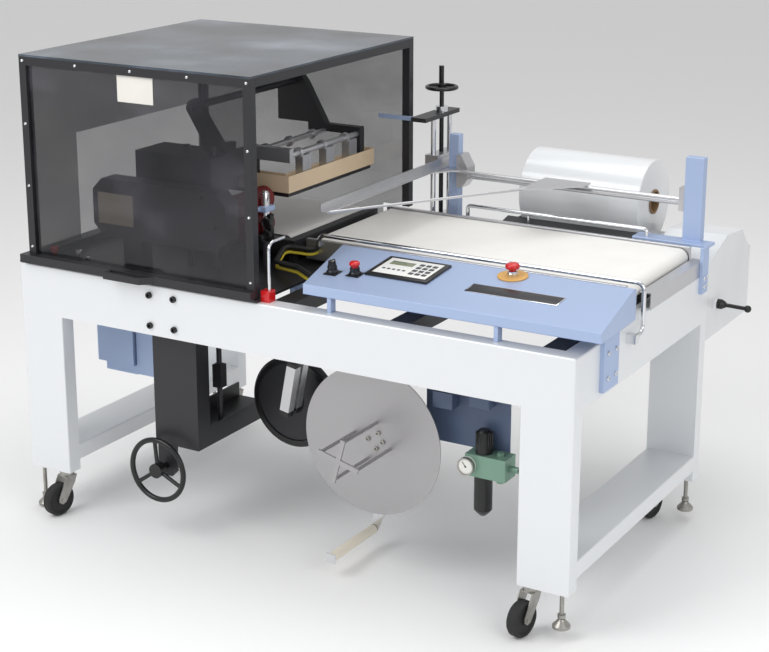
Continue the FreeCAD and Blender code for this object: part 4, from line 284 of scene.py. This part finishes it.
def smoked(name="smoked_acrylic", clear=0.56, painted_reflection=0.16, tone=None):
    """Smoked sheet: see-through, with cloudy grey streaks painted in as the reflection of a room
    around it.
    """
    if name in bpy.data.materials:
        return bpy.data.materials[name]
    material = bpy.data.materials.new(name)
    material.use_nodes = True
    tree = material.node_tree
    shader = tree.nodes["Principled BSDF"]
    coords = tree.nodes.new("ShaderNodeTexCoord").outputs["Object"]
    reflection_cloud = noise(tree, coords, 3.2, 9.0, (1.0, 1.0, 1.7))
    tone = tone or colours().smoke
    # Painted reflection: where the cloud is high the colour turns lighter and the sheet less
    # see-through, as if a room were reflected in it.
    reflection_streaks = ramp(tree, reflection_cloud, [(0.36, linear(tone, 0.35)), (0.55, linear(tone)),
                                 (0.72, linear([min(1.0, c + painted_reflection) for c in tone]))])
    wire(tree, reflection_streaks, shader.inputs["Base Color"])
    wire(tree, spread(tree, reflection_cloud, 1.0 - clear - 0.12, 1.0 - clear + 0.16), shader.inputs["Alpha"])
    shader.inputs["Roughness"].default_value = 0.06
    shader.inputs["Specular IOR Level"].default_value = 0.7
    return material


def smoked_top():
    # The 0.20 sets how far the painted reflection streaks lighten the top sheet.
    return smoked("smoked_top", 0.14, 0.20, (0.27, 0.31, 0.36))


def cardboard():
    return finish("cardboard", (0.55, 0.43, 0.30), 0.7, mottle=0.12, grain=500, bump=0.12)


def white_plastic():
    return finish("white_plastic", (0.90, 0.90, 0.88), 0.35, mottle=0.04, grain=900, bump=0.02)


def belt_cloth():
    return finish("belt_cloth", colours().belt, 0.66, mottle=0.03, mottle_scale=9, grain=1600,
                  bump=0.10)


def wound_film():
    return finish("wound_film", colours().film, 0.22, mottle=0.10, mottle_scale=5, grain=240,
                  bump=0.06, stretch=(0.12, 1.0, 1.0), coat=0.7)


def brushed_disc():
    return finish("brushed_disc", (0.60, 0.595, 0.60), 0.42, metal=0.75, mottle=0.2,
                  mottle_scale=9, grain=260, bump=0.10, scuff=0.25)


def green_cast():
    return finish("green_cast", colours().green, 0.4, mottle=0.14, grain=260, bump=0.12)


def cabinet_paint():
    return finish("cabinet_paint", colours().cabinet, 0.36, mottle=0.04, grain=420, bump=0.05,
                  coat=0.2)


def red_rubber():
    return finish("red_rubber", (0.42, 0.08, 0.09), 0.5, mottle=0.2, grain=500, bump=0.1)


def red_plastic():
    return finish("red_plastic", colours().red, 0.25, mottle=0.05, grain=900, bump=0.02, coat=0.4)


def beige_paint():
    return finish("beige_paint", colours().beige, 0.45, mottle=0.06, grain=420, bump=0.06)


def cream():
    return finish("cream_roller", (0.87, 0.83, 0.73), 0.45, mottle=0.07, grain=500, bump=0.05)


def panel_slate():
    return finish("panel_slate", (0.33, 0.39, 0.50), 0.42, mottle=0.12, grain=420, bump=0.08)


# ------------------------------------------------------------------ shaping
def settle(name, bm, material, member, smooth=30.0):
    """Turn a mesh under construction into a finished piece that rides with a CAD member."""
    bmesh.ops.remove_doubles(bm, verts=bm.verts, dist=0.00001)
    bmesh.ops.recalc_face_normals(bm, faces=bm.faces)
    mesh = bpy.data.meshes.new(name)
    bm.to_mesh(mesh)
    bm.free()
    piece = bpy.data.objects.new(name, mesh)
    bpy.context.scene.collection.objects.link(piece)
    mesh.materials.append(material)
    mesh.shade_smooth()
    mesh.set_sharp_from_angle(angle=math.radians(smooth))
    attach(piece, frame["nodes"][member]["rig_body"])
    return piece


def frame_of(origin, axis):
    """A matrix that stands +Z of a shape along an axis through a point."""
    return Matrix.Translation(origin) @ Vector(axis).to_track_quat("Z", "Y").to_matrix().to_4x4()


def block(bm, low, high, edge=0.0, segments=2):
    """A block between two corners with its edges rounded."""
    low, high = Vector(low), Vector(high)
    made = bmesh.ops.create_cube(bm, size=1.0)
    verts = made["verts"]
    bmesh.ops.scale(bm, vec=high - low, verts=verts)
    bmesh.ops.translate(bm, vec=(low + high) / 2, verts=verts)
    if edge:
        edges = list({e for v in verts for e in v.link_edges})
        bmesh.ops.bevel(bm, geom=edges, offset=edge, offset_type="OFFSET", affect="EDGES",
                        segments=segments, profile=0.5, material=-1)
    return bm


def rod(bm, start, end, radius, edge=0.0, steps=None, tip=None):
    """A round bar, or a cone if the tip has its own radius."""
    start, end = Vector(start), Vector(end)
    length = (end - start).length
    made = bmesh.ops.create_cone(bm, cap_ends=True, segments=steps or sizes().steps,
                                 radius1=radius, radius2=radius if tip is None else tip,
                                 depth=length, matrix=frame_of((start + end) / 2, end - start))
    if edge:
        verts = set(made["verts"])
        rims = [e for e in bm.edges if e.verts[0] in verts and e.verts[1] in verts
                and any(len(f.verts) > 4 for f in e.link_faces)]
        bmesh.ops.bevel(bm, geom=rims, offset=edge, offset_type="OFFSET", affect="EDGES",
                        segments=2, profile=0.5, material=-1)
    return bm


def turn(bm, profile, origin, axis, steps=None):
    """Spin an outline of (radius, height) points in metres about an axis."""
    before = set(bm.verts)
    verts = [bm.verts.new((r, 0, h)) for r, h in profile]
    edges = [bm.edges.new((verts[i], verts[i + 1])) for i in range(len(verts) - 1)]
    bmesh.ops.spin(bm, geom=verts + edges, cent=(0, 0, 0), axis=(0, 0, 1),
                   angle=2 * math.pi, steps=steps or sizes().steps, use_merge=True)
    fresh = [v for v in bm.verts if v not in before]
    bmesh.ops.transform(bm, matrix=frame_of(origin, axis), verts=fresh)
    return bm


def screws(name, places, normal, member, radius=None, material=None, domed=True):
    """Button head screws with a hex socket, standing on a face."""
    radius = radius or sizes().screw
    normal = Vector(normal)
    bm = bmesh.new()
    for place in places:
        turn(bm, [(0, radius * 0.25), (radius * 0.42, radius * 0.25), (radius * 0.46, radius * 0.62),
                  (radius * 0.75, radius * 0.5), (radius, 0.0)] if domed else
             [(0, radius * 0.3), (radius * 0.45, radius * 0.3), (radius * 0.5, radius * 0.8),
              (radius * 0.94, radius * 0.8), (radius, radius * 0.7), (radius, 0.0)],
             Vector(place), normal, steps=16)
    return settle(name, bm, material or bright_steel(), member, smooth=40)


# ------------------------------------------------------------------ operators
class SEALER_OT_stage(bpy.types.Operator):
    """Set the floor, the soft lamps, the pale world and the camera"""
    bl_idname = "sealer.stage"
    bl_label = "Stage and camera"

    def execute(self, context):
        scene = context.scene
        scene.view_settings.view_transform = "Standard"
        low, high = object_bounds()
        pale = linear(colours().backdrop)
        bm = bmesh.new()
        bmesh.ops.create_grid(bm, x_segments=1, y_segments=1, size=14.0)
        mesh = bpy.data.meshes.new("floor")
        bm.to_mesh(mesh)
        bm.free()
        floor = bpy.data.objects.new("floor", mesh)
        floor.location.z = low.z - 0.0005
        scene.collection.objects.link(floor)
        material = bpy.data.materials.new("floor")
        material.use_nodes = True
        shader = material.node_tree.nodes["Principled BSDF"]
        shader.inputs["Base Color"].default_value = pale
        shader.inputs["Roughness"].default_value = 0.9
        mesh.materials.append(material)
        floor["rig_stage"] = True

        world = bpy.data.worlds.new("studio")
        scene.world = world
        world.use_nodes = True
        tree = world.node_tree
        back = tree.nodes["Background"]
        back.inputs["Color"].default_value = (1.0, 1.0, 1.0, 1.0)
        back.inputs["Strength"].default_value = 0.62
        seen = tree.nodes.new("ShaderNodeBackground")
        seen.inputs["Color"].default_value = (1.0, 1.0, 1.0, 1.0)
        seen.inputs["Strength"].default_value = 1.0
        path = tree.nodes.new("ShaderNodeLightPath")
        mixed = tree.nodes.new("ShaderNodeMixShader")
        wire(tree, path.outputs["Is Camera Ray"], mixed.inputs[0])
        wire(tree, back.outputs[0], mixed.inputs[1])
        wire(tree, seen.outputs[0], mixed.inputs[2])
        wire(tree, mixed.outputs[0], tree.nodes["World Output"].inputs[0])

        for name, place, size, power in (("key", (-1.6, -3.4, 3.6), 2.6, 84.0),
                                         ("fill", (3.6, -2.2, 2.4), 2.2, 34.0),
                                         ("top", (0.3, 0.6, 4.2), 3.0, 52.0)):
            lamp = bpy.data.lights.new(name, "AREA")
            lamp.shape = "SQUARE"
            lamp.size = size
            lamp.energy = power
            holder = bpy.data.objects.new(name, lamp)
            holder.location = place
            aim = Vector((0, 0, 0.6)) - Vector(place)
            holder.rotation_euler = aim.to_track_quat("-Z", "Y").to_euler()
            scene.collection.objects.link(holder)

        camera = bpy.data.cameras.new("camera")
        camera.sensor_width = 36.0
        camera.lens = 81.46
        camera.shift_y = -0.0598
        camera.clip_end = 60.0
        holder = bpy.data.objects.new("camera", camera)
        holder.location = at(3447.5, -3753.3, 2150.6)
        holder.rotation_euler = (math.pi / 2 - 0.279, 0.0, 0.529)
        scene.collection.objects.link(holder)
        scene.camera = holder
        return {"FINISHED"}


def soften(node, width, segments=2, angle=40.0):
    """Round a CAD node's visible edges with live modifiers."""
    piece = frame["nodes"][node]
    weld = piece.modifiers.new("weld", "WELD")
    weld.merge_threshold = 0.00002
    edge = piece.modifiers.new("edges", "BEVEL")
    edge.width = width
    edge.segments = segments
    edge.limit_method = "ANGLE"
    edge.angle_limit = math.radians(angle)
    edge.use_clamp_overlap = True


class SEALER_OT_finishes(bpy.types.Operator):
    """Give every machine member its paint, metal, belt or plastic finish"""
    bl_idname = "sealer.finishes"
    bl_label = "Finishes"

    def execute(self, context):
        table = {
            frame_paint: ("frame_legs", "front_rail", "frame_rails"),
            blue_paint: ("console_shell", "blue_brackets", "underframe_units"),
            black_paint: ("deck", "exit_bed", "lower_jaw", "unwind_cradle", "winder_hanger",
                          "lift_column", "hood_frame", "seal_carriage"),
            charcoal: ("drive_guard",),
            aluminium: ("infeed_bed", "inverter_head", "head_rods", "exit_drive_roller",
                        "exit_nose_roller", "infeed_drive_roller", "infeed_nose_roller",
                        "cradle_roller_near", "cradle_roller_far"),
            bright_steel: ("guard_rails", "tower_frame", "dancer_arm"),
            belt_cloth: ("exit_belt", "infeed_belt"),
            smoked: ("hood_front_panel", "hood_side_panels"),
            smoked_top: ("hood_top_panel",),
            beige_paint: ("seal_channel",),
            red_rubber: ("nip_roller_lower", "nip_roller_upper"),
            wound_film: ("film_roll",),
            cabinet_paint: ("drive_cabinet",),
            brushed_disc: ("trim_winder",),
            cream: ("dancer_roller",),
            panel_slate: ("valve_board",),
            green_cast: ("air_regulator",),
            black_plastic: ("lift_handwheel", "tower_screw", "cabinet_lever", "selector_knob",
                            "control_plates"),
            red_plastic: ("lamp_button", "stop_button"),
            zinc: tuple(n for n in frame["nodes"] if n.startswith(("caster_fork", "levelling"))),
            rubber: tuple(n for n in frame["nodes"] if n.startswith("caster_wheel")),
        }
        for make, nodes in table.items():
            for node in nodes:
                data = frame["nodes"][node].data
                data.materials.clear()
                data.materials.append(make())
        left = [n for n, o in frame["nodes"].items() if not o.data.materials]
        if left:
            raise RuntimeError("no finish for %s" % left)
        return {"FINISHED"}


def on_slope(x, y, lift=0.0):
    """A point over the console's sloping top sheet, and the sheet's normal."""
    rise = sizes().slope_rise / sizes().slope_run
    normal = Vector((0, -rise, 1)).normalized()
    return at(x, y, 850 + (y - 22) * rise) + normal * lift, normal


def slope_block(bm, x0, x1, y0, y1, low, high, edge=0.0004):
    """A block lying on the console's slope, its heights measured from the sheet."""
    lean = math.atan(sizes().slope_rise / sizes().slope_run)
    before = set(bm.verts)
    block(bm, (0, 0, low), ((x1 - x0) / 1000, (y1 - y0) / 1000 / math.cos(lean), high), edge)
    fresh = [v for v in bm.verts if v not in before]
    origin = on_slope(x0, y0)[0]
    bmesh.ops.transform(bm, matrix=Matrix.Translation(origin) @ Matrix.Rotation(lean, 4, "X"),
                        verts=fresh)
    return bm


def bent(bm, route, radius, bend, steps=12):
    """A round bar bent along a route, with an arc at each inner corner."""
    path = [Vector(route[0])]
    for before, corner, after in zip(route, route[1:], route[2:]):
        corner = Vector(corner)
        back = (Vector(before) - corner).normalized()
        ahead = (Vector(after) - corner).normalized()
        half = back.angle(ahead) / 2
        reach = bend / math.tan(half)
        middle = (back + ahead).normalized()
        centre = corner + middle * (bend / math.sin(half))
        first = corner + back * reach - centre
        last = corner + ahead * reach - centre
        turn_axis = first.cross(last).normalized()
        sweep = first.angle(last)
        for i in range(7):
            path.append(centre + Matrix.Rotation(sweep * i / 6, 3, turn_axis) @ first)
    path.append(Vector(route[-1]))
    rings = []
    side = None
    for i, point in enumerate(path):
        heading = (path[min(i + 1, len(path) - 1)] - path[max(i - 1, 0)]).normalized()
        if side is None:
            side = heading.orthogonal().normalized()
        side = (side - heading * side.dot(heading)).normalized()
        up = heading.cross(side)
        rings.append([bm.verts.new(point + (side * math.cos(2 * math.pi * k / steps)
                                            + up * math.sin(2 * math.pi * k / steps)) * radius)
                      for k in range(steps)])
    for near, far in zip(rings, rings[1:]):
        for k in range(steps):
            bm.faces.new((near[k], near[(k + 1) % steps], far[(k + 1) % steps], far[k]))
    bm.faces.new(rings[0])
    bm.faces.new(rings[-1])
    return bm


def plate(name, x0, x1, z0, z1, y, material, member, thick=0.0008, edge=0.0003):
    """A thin plate on a face that looks at the operator."""
    bm = bmesh.new()
    low, high = at(x0, y, z0), at(x1, y, z1)
    block(bm, (low.x, low.y - thick, low.z), (high.x, high.y, high.z), edge)
    return settle(name, bm, material, member)


class SEALER_OT_frame_fittings(bpy.types.Operator):
    """Break the frame's sheet edges and fit its bolts"""
    bl_idname = "sealer.frame_fittings"
    bl_label = "Frame fittings"

    def execute(self, context):
        for node in ("deck", "blue_brackets", "underframe_units", "drive_cabinet", "exit_bed",
                     "infeed_bed", "hood_frame", "seal_channel", "lift_column", "valve_board",
                     "unwind_cradle", "lower_jaw", "winder_hanger"):
            soften(node, sizes().edge)
        soften("console_shell", 2 * sizes().edge, 3)
        soften("drive_guard", 2 * sizes().edge, 3)
        rail = [at(522.5 + side * 42.5, 0, 704 + rise * 45) for side in (-1, 1) for rise in (-1, 1)]
        screws("rail_bolts", rail, -Y, "frame_legs", sizes().bolt, black_plastic(), domed=False)
        bracket = [at(1812, y, z) for y in (176, 226) for z in (680, 748)]
        screws("bracket_bolts", bracket, X, "frame_legs", 0.0065, bright_steel(), domed=False)
        shelf = [at(1810, y, z) for y in (870, 893) for z in (750, 774)]
        screws("shelf_bolts", shelf, X, "frame_legs", 0.0055, bright_steel(), domed=False)
        return {"FINISHED"}


class SEALER_OT_hood_fittings(bpy.types.Operator):
    """Fit the hood's panel screws and its bare plate"""
    bl_idname = "sealer.hood_fittings"
    bl_label = "Hood fittings"

    def execute(self, context):
        left, right, top = 52.5, 829.5, 1384
        span_x = right - left
        front = [at(left + span_x * i / 4, 0, top) for i in range(5)]
        front += [at(x, 0, top - 183 * i) for x in (left, right) for i in (1, 2, 3)]
        screws("hood_screws_front", front, -Y, "hood_frame")
        side = [at(40, 12.5 + 855 * i / 4, top) for i in range(5)]
        side += [at(40, y, top - 183 * i) for y in (12.5, 867.5) for i in (1, 2, 3)]
        screws("hood_screws_left", side, -X, "hood_frame")
        rear = [at(left + span_x * i / 4, 880, top) for i in range(5)]
        rear += [at(left, 880, top - 183 * i) for i in (1, 2, 3)]
        screws("hood_screws_rear", rear, Y, "hood_frame")
        plate("hood_plate", 389, 513, 1295, 1379, 8, bare_plate(), "hood_frame")
        return {"FINISHED"}


class SEALER_OT_guard_fittings(bpy.types.Operator):
    """Fit the drive guard's bare plate, its screws and the roller clamp beside it"""
    bl_idname = "sealer.guard_fittings"
    bl_label = "Drive guard fittings"

    def execute(self, context):
        plate("guard_plate", 251, 378, 918, 1010, 70,
              finish("parchment_plate", (0.84, 0.78, 0.68), 0.5, mottle=0.08, grain=600, bump=0.04),
              "frame_legs")
        spots = [at(x, 70, z) for x, z in ((665, 953), (300, 1035), (620, 1035), (300, 897),
                                          (620, 897))]
        screws("guard_screws", spots, -Y, "frame_legs", 0.005, black_plastic())
        bm = bmesh.new()
        rod(bm, at(706, 260, 880), at(706, 260, 1022), 0.0128, 0.001)
        rod(bm, at(706, 260, 1022), at(706, 260, 1027), 0.0095, 0.001)
        settle("nip_sleeve", bm, bright_steel(), "frame_legs")
        bm = bmesh.new()
        block(bm, at(694, 236, 968), at(724, 284, 984), 0.002)
        rod(bm, at(700, 228, 976), at(700, 238, 976), 0.006, 0.0008)
        settle("nip_clamp", bm, blue_paint(), "frame_legs")
        bm = bmesh.new()
        for z in (901, 938):
            turn(bm, [(0, 0), (0.014, 0), (0.016, 0.002), (0.016, 0.008), (0.013, 0.010),
                      (0.010, 0.007), (0.006, 0.007), (0.005, 0.012), (0, 0.012)],
                 at(722, 246, z), -Y, steps=24)
            rod(bm, at(722, 246, z), at(722, 262, z), 0.004)
        block(bm, at(700, 252, 880), at(728, 272, 960), 0.002)
        settle("nip_wheels", bm, black_plastic(), "frame_legs")
        return {"FINISHED"}


class SEALER_OT_console(bpy.types.Operator):
    """Build the key panel, the button seats, the stop ring and the bare name plate"""
    bl_idname = "sealer.console"
    bl_label = "Console"

    def execute(self, context):
        x0, x1, y0, y1 = 1106, 1296, 147, 289
        bm = bmesh.new()
        slope_block(bm, x0 - 1, x1 + 1, y0 - 1, y1 + 1, 0.0, 0.0068, 0.0016)
        for x, y in ((1017, 124), (1081, 137)):
            slope_block(bm, x - 20, x + 20, y - 20, y + 20, 0.0, 0.0022, 0.0008)
            foot, normal = on_slope(x, y, 0.002)
            turn(bm, [(0.0092, 0.0), (0.0165, 0.0), (0.0165, 0.006), (0.0136, 0.009),
                      (0.0136, 0.0188), (0.0124, 0.02), (0.0092, 0.02),
                      (0.0092, 0.0)], foot, normal)
        seats = settle("control_seats", bm, black_plastic(), "frame_legs")
        bm = bmesh.new()
        foot, normal = on_slope(1482, 290)
        turn(bm, [(0.0, 0.0), (0.041, 0.0), (0.042, 0.001), (0.042, 0.0034), (0.0405, 0.0042),
                  (0.028, 0.0042), (0.027, 0.0036), (0.0145, 0.0036), (0.0, 0.0036)], foot, normal,
             steps=64)
        ring = settle("stop_ring", bm, finish("stop_ring", (0.83, 0.64, 0.34), 0.4, mottle=0.12,
                                              grain=500, bump=0.04), "frame_legs")
        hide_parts("control_plates")
        bm = bmesh.new()
        turn(bm, [(0.0092, 0.003), (0.0155, 0.003), (0.0155, 0.011), (0.0138, 0.0135),
                  (0.0138, 0.0172), (0.0092, 0.018),
                  (0.0092, 0.003)], foot, normal)
        settle("stop_collar", bm, bright_steel(), "frame_legs")
        bm = bmesh.new()
        slope_block(bm, x0 + 13, x1 - 13, y0 + 16, y1 - 12, 0.0062, 0.0074)
        settle("panel_face", bm, finish("panel_face", (0.90, 0.90, 0.89), 0.45, mottle=0.04,
                                        grain=900, bump=0.03), "frame_legs")
        bm = bmesh.new()
        slope_block(bm, x0 + 28, x0 + 100, y1 - 58, y1 - 32, 0.0070, 0.0082)
        settle("panel_display", bm, finish("display_glass", (0.50, 0.53, 0.44), 0.12, mottle=0.1,
                                           grain=300, bump=0.01), "frame_legs")
        bm = bmesh.new()
        for row in range(4):
            for column in range(3):
                kx = x0 + 114 + column * 20
                ky = y1 - 44 - row * 22
                slope_block(bm, kx, kx + 14, ky, ky + 14, 0.0070, 0.0088, 0.0008)
        for column in range(5):
            kx = x0 + 26 + column * 15.5
            slope_block(bm, kx, kx + 9, y0 + 46, y0 + 54, 0.0070, 0.0086, 0.0008)
        settle("panel_keys", bm, finish("panel_keys", (0.30, 0.31, 0.33), 0.4, mottle=0.1,
                                        grain=900, bump=0.04), "frame_legs")
        bm = bmesh.new()
        slope_block(bm, 1411, 1680, 143, 202, 0.0, 0.0016, 0.0006)
        settle("name_plate_rim", bm, bright_steel(), "frame_legs")
        bm = bmesh.new()
        slope_block(bm, 1415, 1676, 147, 198, 0.0010, 0.0022)
        settle("name_plate", bm, finish("plate_black", (0.13, 0.13, 0.15), 0.35, mottle=0.15,
                                        grain=600, bump=0.04), "frame_legs")
        return {"FINISHED"}


class SEALER_OT_knobs(bpy.types.Operator):
    """Build the selector, the lamp button and the stop mushroom"""
    bl_idname = "sealer.knobs"
    bl_label = "Knobs and buttons"

    def execute(self, context):
        foot, normal = on_slope(1017, 124, 0.0223)
        bm = bmesh.new()
        turn(bm, [(0.0, 0.0), (0.0118, 0.0), (0.0118, 0.004), (0.0108, 0.0055), (0.0104, 0.0125),
                  (0.0092, 0.014), (0.0, 0.0142)], foot, normal)
        before = set(bm.verts)
        block(bm, (-0.0026, -0.0135, 0.004), (0.0026, 0.0135, 0.0155), 0.0012)
        bmesh.ops.transform(bm, matrix=frame_of(foot, normal),
                            verts=[v for v in bm.verts if v not in before])
        knob = settle("selector_grip", bm, black_plastic(), "selector_knob")
        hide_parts("selector_knob")
        bm = bmesh.new()
        turn(bm, [(0.0, 0.0138), (0.0060, 0.0138), (0.0066, 0.0144), (0.0058, 0.0152),
                  (0.0, 0.0154)], foot, normal)
        settle("selector_disc", bm, bright_steel(), "selector_knob")
        foot, normal = on_slope(1081, 137, 0.027)
        bm = bmesh.new()
        turn(bm, [(0.0, -0.014), (0.0088, -0.014), (0.0088, 0.0), (0.0126, 0.0002), (0.0146, 0.002),
                  (0.0150, 0.006), (0.0144, 0.0085), (0.0118, 0.0108), (0.0065, 0.0124),
                  (0.0, 0.0129)], foot, normal)
        cap = settle("lamp_cap", bm, red_plastic(), "lamp_button", smooth=50)
        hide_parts("lamp_button")
        foot, normal = on_slope(1482, 290, 0.023)
        bm = bmesh.new()
        turn(bm, [(0.0, -0.012), (0.0088, -0.012), (0.0088, 0.0), (0.0150, 0.0), (0.0190, 0.002),
                  (0.0200, 0.006), (0.0194, 0.0100), (0.0165, 0.0134), (0.0095, 0.0154),
                  (0.0, 0.0159)], foot, normal)
        cap = settle("stop_cap", bm, red_plastic(), "stop_button", smooth=50)
        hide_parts("stop_button")
        return {"FINISHED"}


class SEALER_OT_hoses(bpy.types.Operator):
    """Sheath the hose and the cable, and fit the deck's toggle and studs"""
    bl_idname = "sealer.hoses"
    bl_label = "Hoses and deck studs"

    def execute(self, context):
        for name, radius, drop, shade in (
                ("air_hose", 7, 0, (0.09, 0.09, 0.095)),
                ("signal_cable", 4, 16, (0.86, 0.78, 0.20))):
            level = 838 - drop
            end = 985 - 70 * 98 / 330 - 0.75 * radius
            route = [at(790, 402, level), at(790, 372, level), at(718, 342, level + 9),
                     at(736, 265, level - 18), at(859, 192.5, level), at(end, 120, level)]
            bm = bmesh.new()
            bent(bm, route, radius / 1000 + 0.0006, 0.022)
            settle(name, bm, finish(name, shade, 0.5, mottle=0.12, grain=500, bump=0.08), "frame_legs",
                   smooth=50)
        bm = bmesh.new()
        for x, z in ((84, 815),):
            rod(bm, at(x, 60, 788), at(x, 60, z - 8), 0.007)
            turn(bm, [(0, 0), (0.010, 0), (0.013, 0.004), (0.013, 0.014), (0.010, 0.018), (0, 0.019)],
                 at(x, 60, z - 8), Z, steps=24)
        settle("deck_toggle", bm, red_plastic(), "frame_legs")
        bm = bmesh.new()
        rod(bm, at(177, 60, 788), at(177, 60, 826), 0.010, 0.001)
        rod(bm, at(205, 66, 788), at(205, 66, 808), 0.007, 0.001)
        settle("deck_studs", bm, bright_steel(), "frame_legs")
        return {"FINISHED"}

def paint(node, low, high, make):
    """Give the faces of a CAD node inside a box of the machine their own finish."""
    mesh = frame["nodes"][node].data
    low, high = at(*low), at(*high)
    if make() not in list(mesh.materials):
        mesh.materials.append(make())
    index = list(mesh.materials).index(make())
    hit = 0
    for face in mesh.polygons:
        if all(a <= c <= b for a, c, b in zip(low, face.center, high)):
            face.material_index = index
            hit += 1
    if not hit:
        raise RuntimeError("no faces of %s in the box" % node)
    return hit


class SEALER_OT_second_finishes(bpy.types.Operator):
    """Finish the members that carry more than one paint or metal"""
    bl_idname = "sealer.second_finishes"
    bl_label = "Second finishes"

    def execute(self, context):
        for node, low, high, make in (
                ("tower_frame", (865, 822, 1149), (919, 1044, 1164), black_paint),
                ("tower_frame", (744, 830, 1149), (866, 846, 1163), blue_paint),
                ("underframe_units", (620, 299, 240), (908, 327, 528), black_paint),
                ("underframe_units", (790, 174, 388), (868, 250, 562), aluminium),
                ("air_regulator", (1459, 108, 427), (1509, 160, 494), black_plastic),
                ("air_regulator", (1457, 106, 244), (1511, 162, 363), black_plastic),
                ("air_regulator", (1426, 86, 370), (1478, 102, 420), white_plastic),
                ("film_roll", (1136, 1111, 873), (1543, 1189, 951), cardboard),
                ("guard_rails", (848, 18, 779), (880, 51, 812.6), red_plastic)):
            paint(node, low, high, make)
        return {"FINISHED"}


class SEALER_OT_under_fittings(bpy.types.Operator):
    """Fit the winder's bolts, the drum's hub, the rams' caps and the gauge's rim"""
    bl_idname = "sealer.under_fittings"
    bl_label = "Fittings under the deck"

    def execute(self, context):
        spots = [at(1155 + dx, 100, 406 + dz) for dx, dz in ((20, 26), (34, 2), (14, -20), (-12, 4))]
        screws("winder_bolts", spots, -Y, "trim_winder", 0.007, zinc(), domed=False)
        bm = bmesh.new()
        turn(bm, [(0, -0.014), (0.010, -0.014), (0.012, -0.012), (0.012, -0.006), (0.034, -0.006),
                  (0.036, -0.004), (0.036, 0.0), (0, 0.0)], at(765, 300, 385), Y)
        turn(bm, [(0.118, 0.0), (0.120, -0.004), (0.134, -0.004), (0.137, 0.0), (0.118, 0.0)],
             at(765, 300, 385), Y, steps=64)
        settle("drum_hub", bm, black_plastic(), "frame_legs")
        lean = Matrix.Rotation(math.radians(11), 4, "Y")
        bm = bmesh.new()
        for y in (176, 218):
            before = set(bm.verts)
            for foot in (-0.0008, 0.1548):
                block(bm, (-0.001, -0.001, foot), (0.031, 0.031, foot + 0.016), 0.002)
            bmesh.ops.transform(bm, matrix=Matrix.Translation(at(797, y, 392)) @ lean,
                                verts=[v for v in bm.verts if v not in before])
        settle("ram_caps", bm, black_plastic(), "frame_legs")
        bm = bmesh.new()
        turn(bm, [(0.0205, -0.0004), (0.0215, -0.003), (0.0246, -0.003), (0.0250, -0.001),
                  (0.0250, 0.009), (0.0240, 0.010), (0.0205, -0.0004)], at(1452, 87, 395), Y, steps=48)
        settle("gauge_rim", bm, zinc(), "air_regulator")
        bm = bmesh.new()
        before = set(bm.verts)
        block(bm, (-0.0008, -0.0012, -0.004), (0.0008, -0.0004, 0.015), 0.0002)
        bmesh.ops.transform(bm, matrix=Matrix.Translation(at(1452, 87, 395))
                            @ Matrix.Rotation(math.radians(-38), 4, "Y"),
                            verts=[v for v in bm.verts if v not in before])
        turn(bm, [(0, -0.0018), (0.002, -0.0018), (0.0026, -0.0004), (0, -0.0004)],
             at(1452, 87, 395), Y, steps=16)
        settle("gauge_needle", bm, black_plastic(), "air_regulator")
        bm = bmesh.new()
        for i in range(20):
            angle = 2 * math.pi * i / 20
            foot = at(1484, 134, 432) + Vector((math.cos(angle), math.sin(angle), 0)) * 0.0228
            rod(bm, foot, foot + Z * 0.052, 0.0014, steps=8)
        settle("knob_ribs", bm, black_plastic(), "air_regulator")
        return {"FINISHED"}


class SEALER_PT_panel(bpy.types.Panel):
    """The sealer's operators"""
    bl_label = "L bar sealer"
    bl_idname = "SEALER_PT_panel"
    bl_space_type = "VIEW_3D"
    bl_region_type = "UI"
    bl_category = "Sealer"

    def draw(self, context):
        for step in STEPS:
            self.layout.operator(step.bl_idname)


STEPS = (SEALER_OT_stage, SEALER_OT_finishes, SEALER_OT_second_finishes,
         SEALER_OT_frame_fittings, SEALER_OT_hood_fittings, SEALER_OT_guard_fittings,
         SEALER_OT_console, SEALER_OT_knobs, SEALER_OT_hoses, SEALER_OT_under_fittings)
CLASSES = (SealerSizes, SealerColours) + STEPS + (SEALER_PT_panel,)


def register():
    for cls in CLASSES:
        bpy.utils.register_class(cls)
    bpy.types.Scene.sealer_sizes = PointerProperty(type=SealerSizes)
    bpy.types.Scene.sealer_colours = PointerProperty(type=SealerColours)


def unregister():
    del bpy.types.Scene.sealer_colours
    del bpy.types.Scene.sealer_sizes
    for cls in reversed(CLASSES):
        bpy.utils.unregister_class(cls)


def main():
    """Build the dressed machine."""
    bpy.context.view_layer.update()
    register()
    for step in STEPS:
        group, name = step.bl_idname.split(".")
        getattr(getattr(bpy.ops, group), name)()


if __name__ == "__main__":
    main()
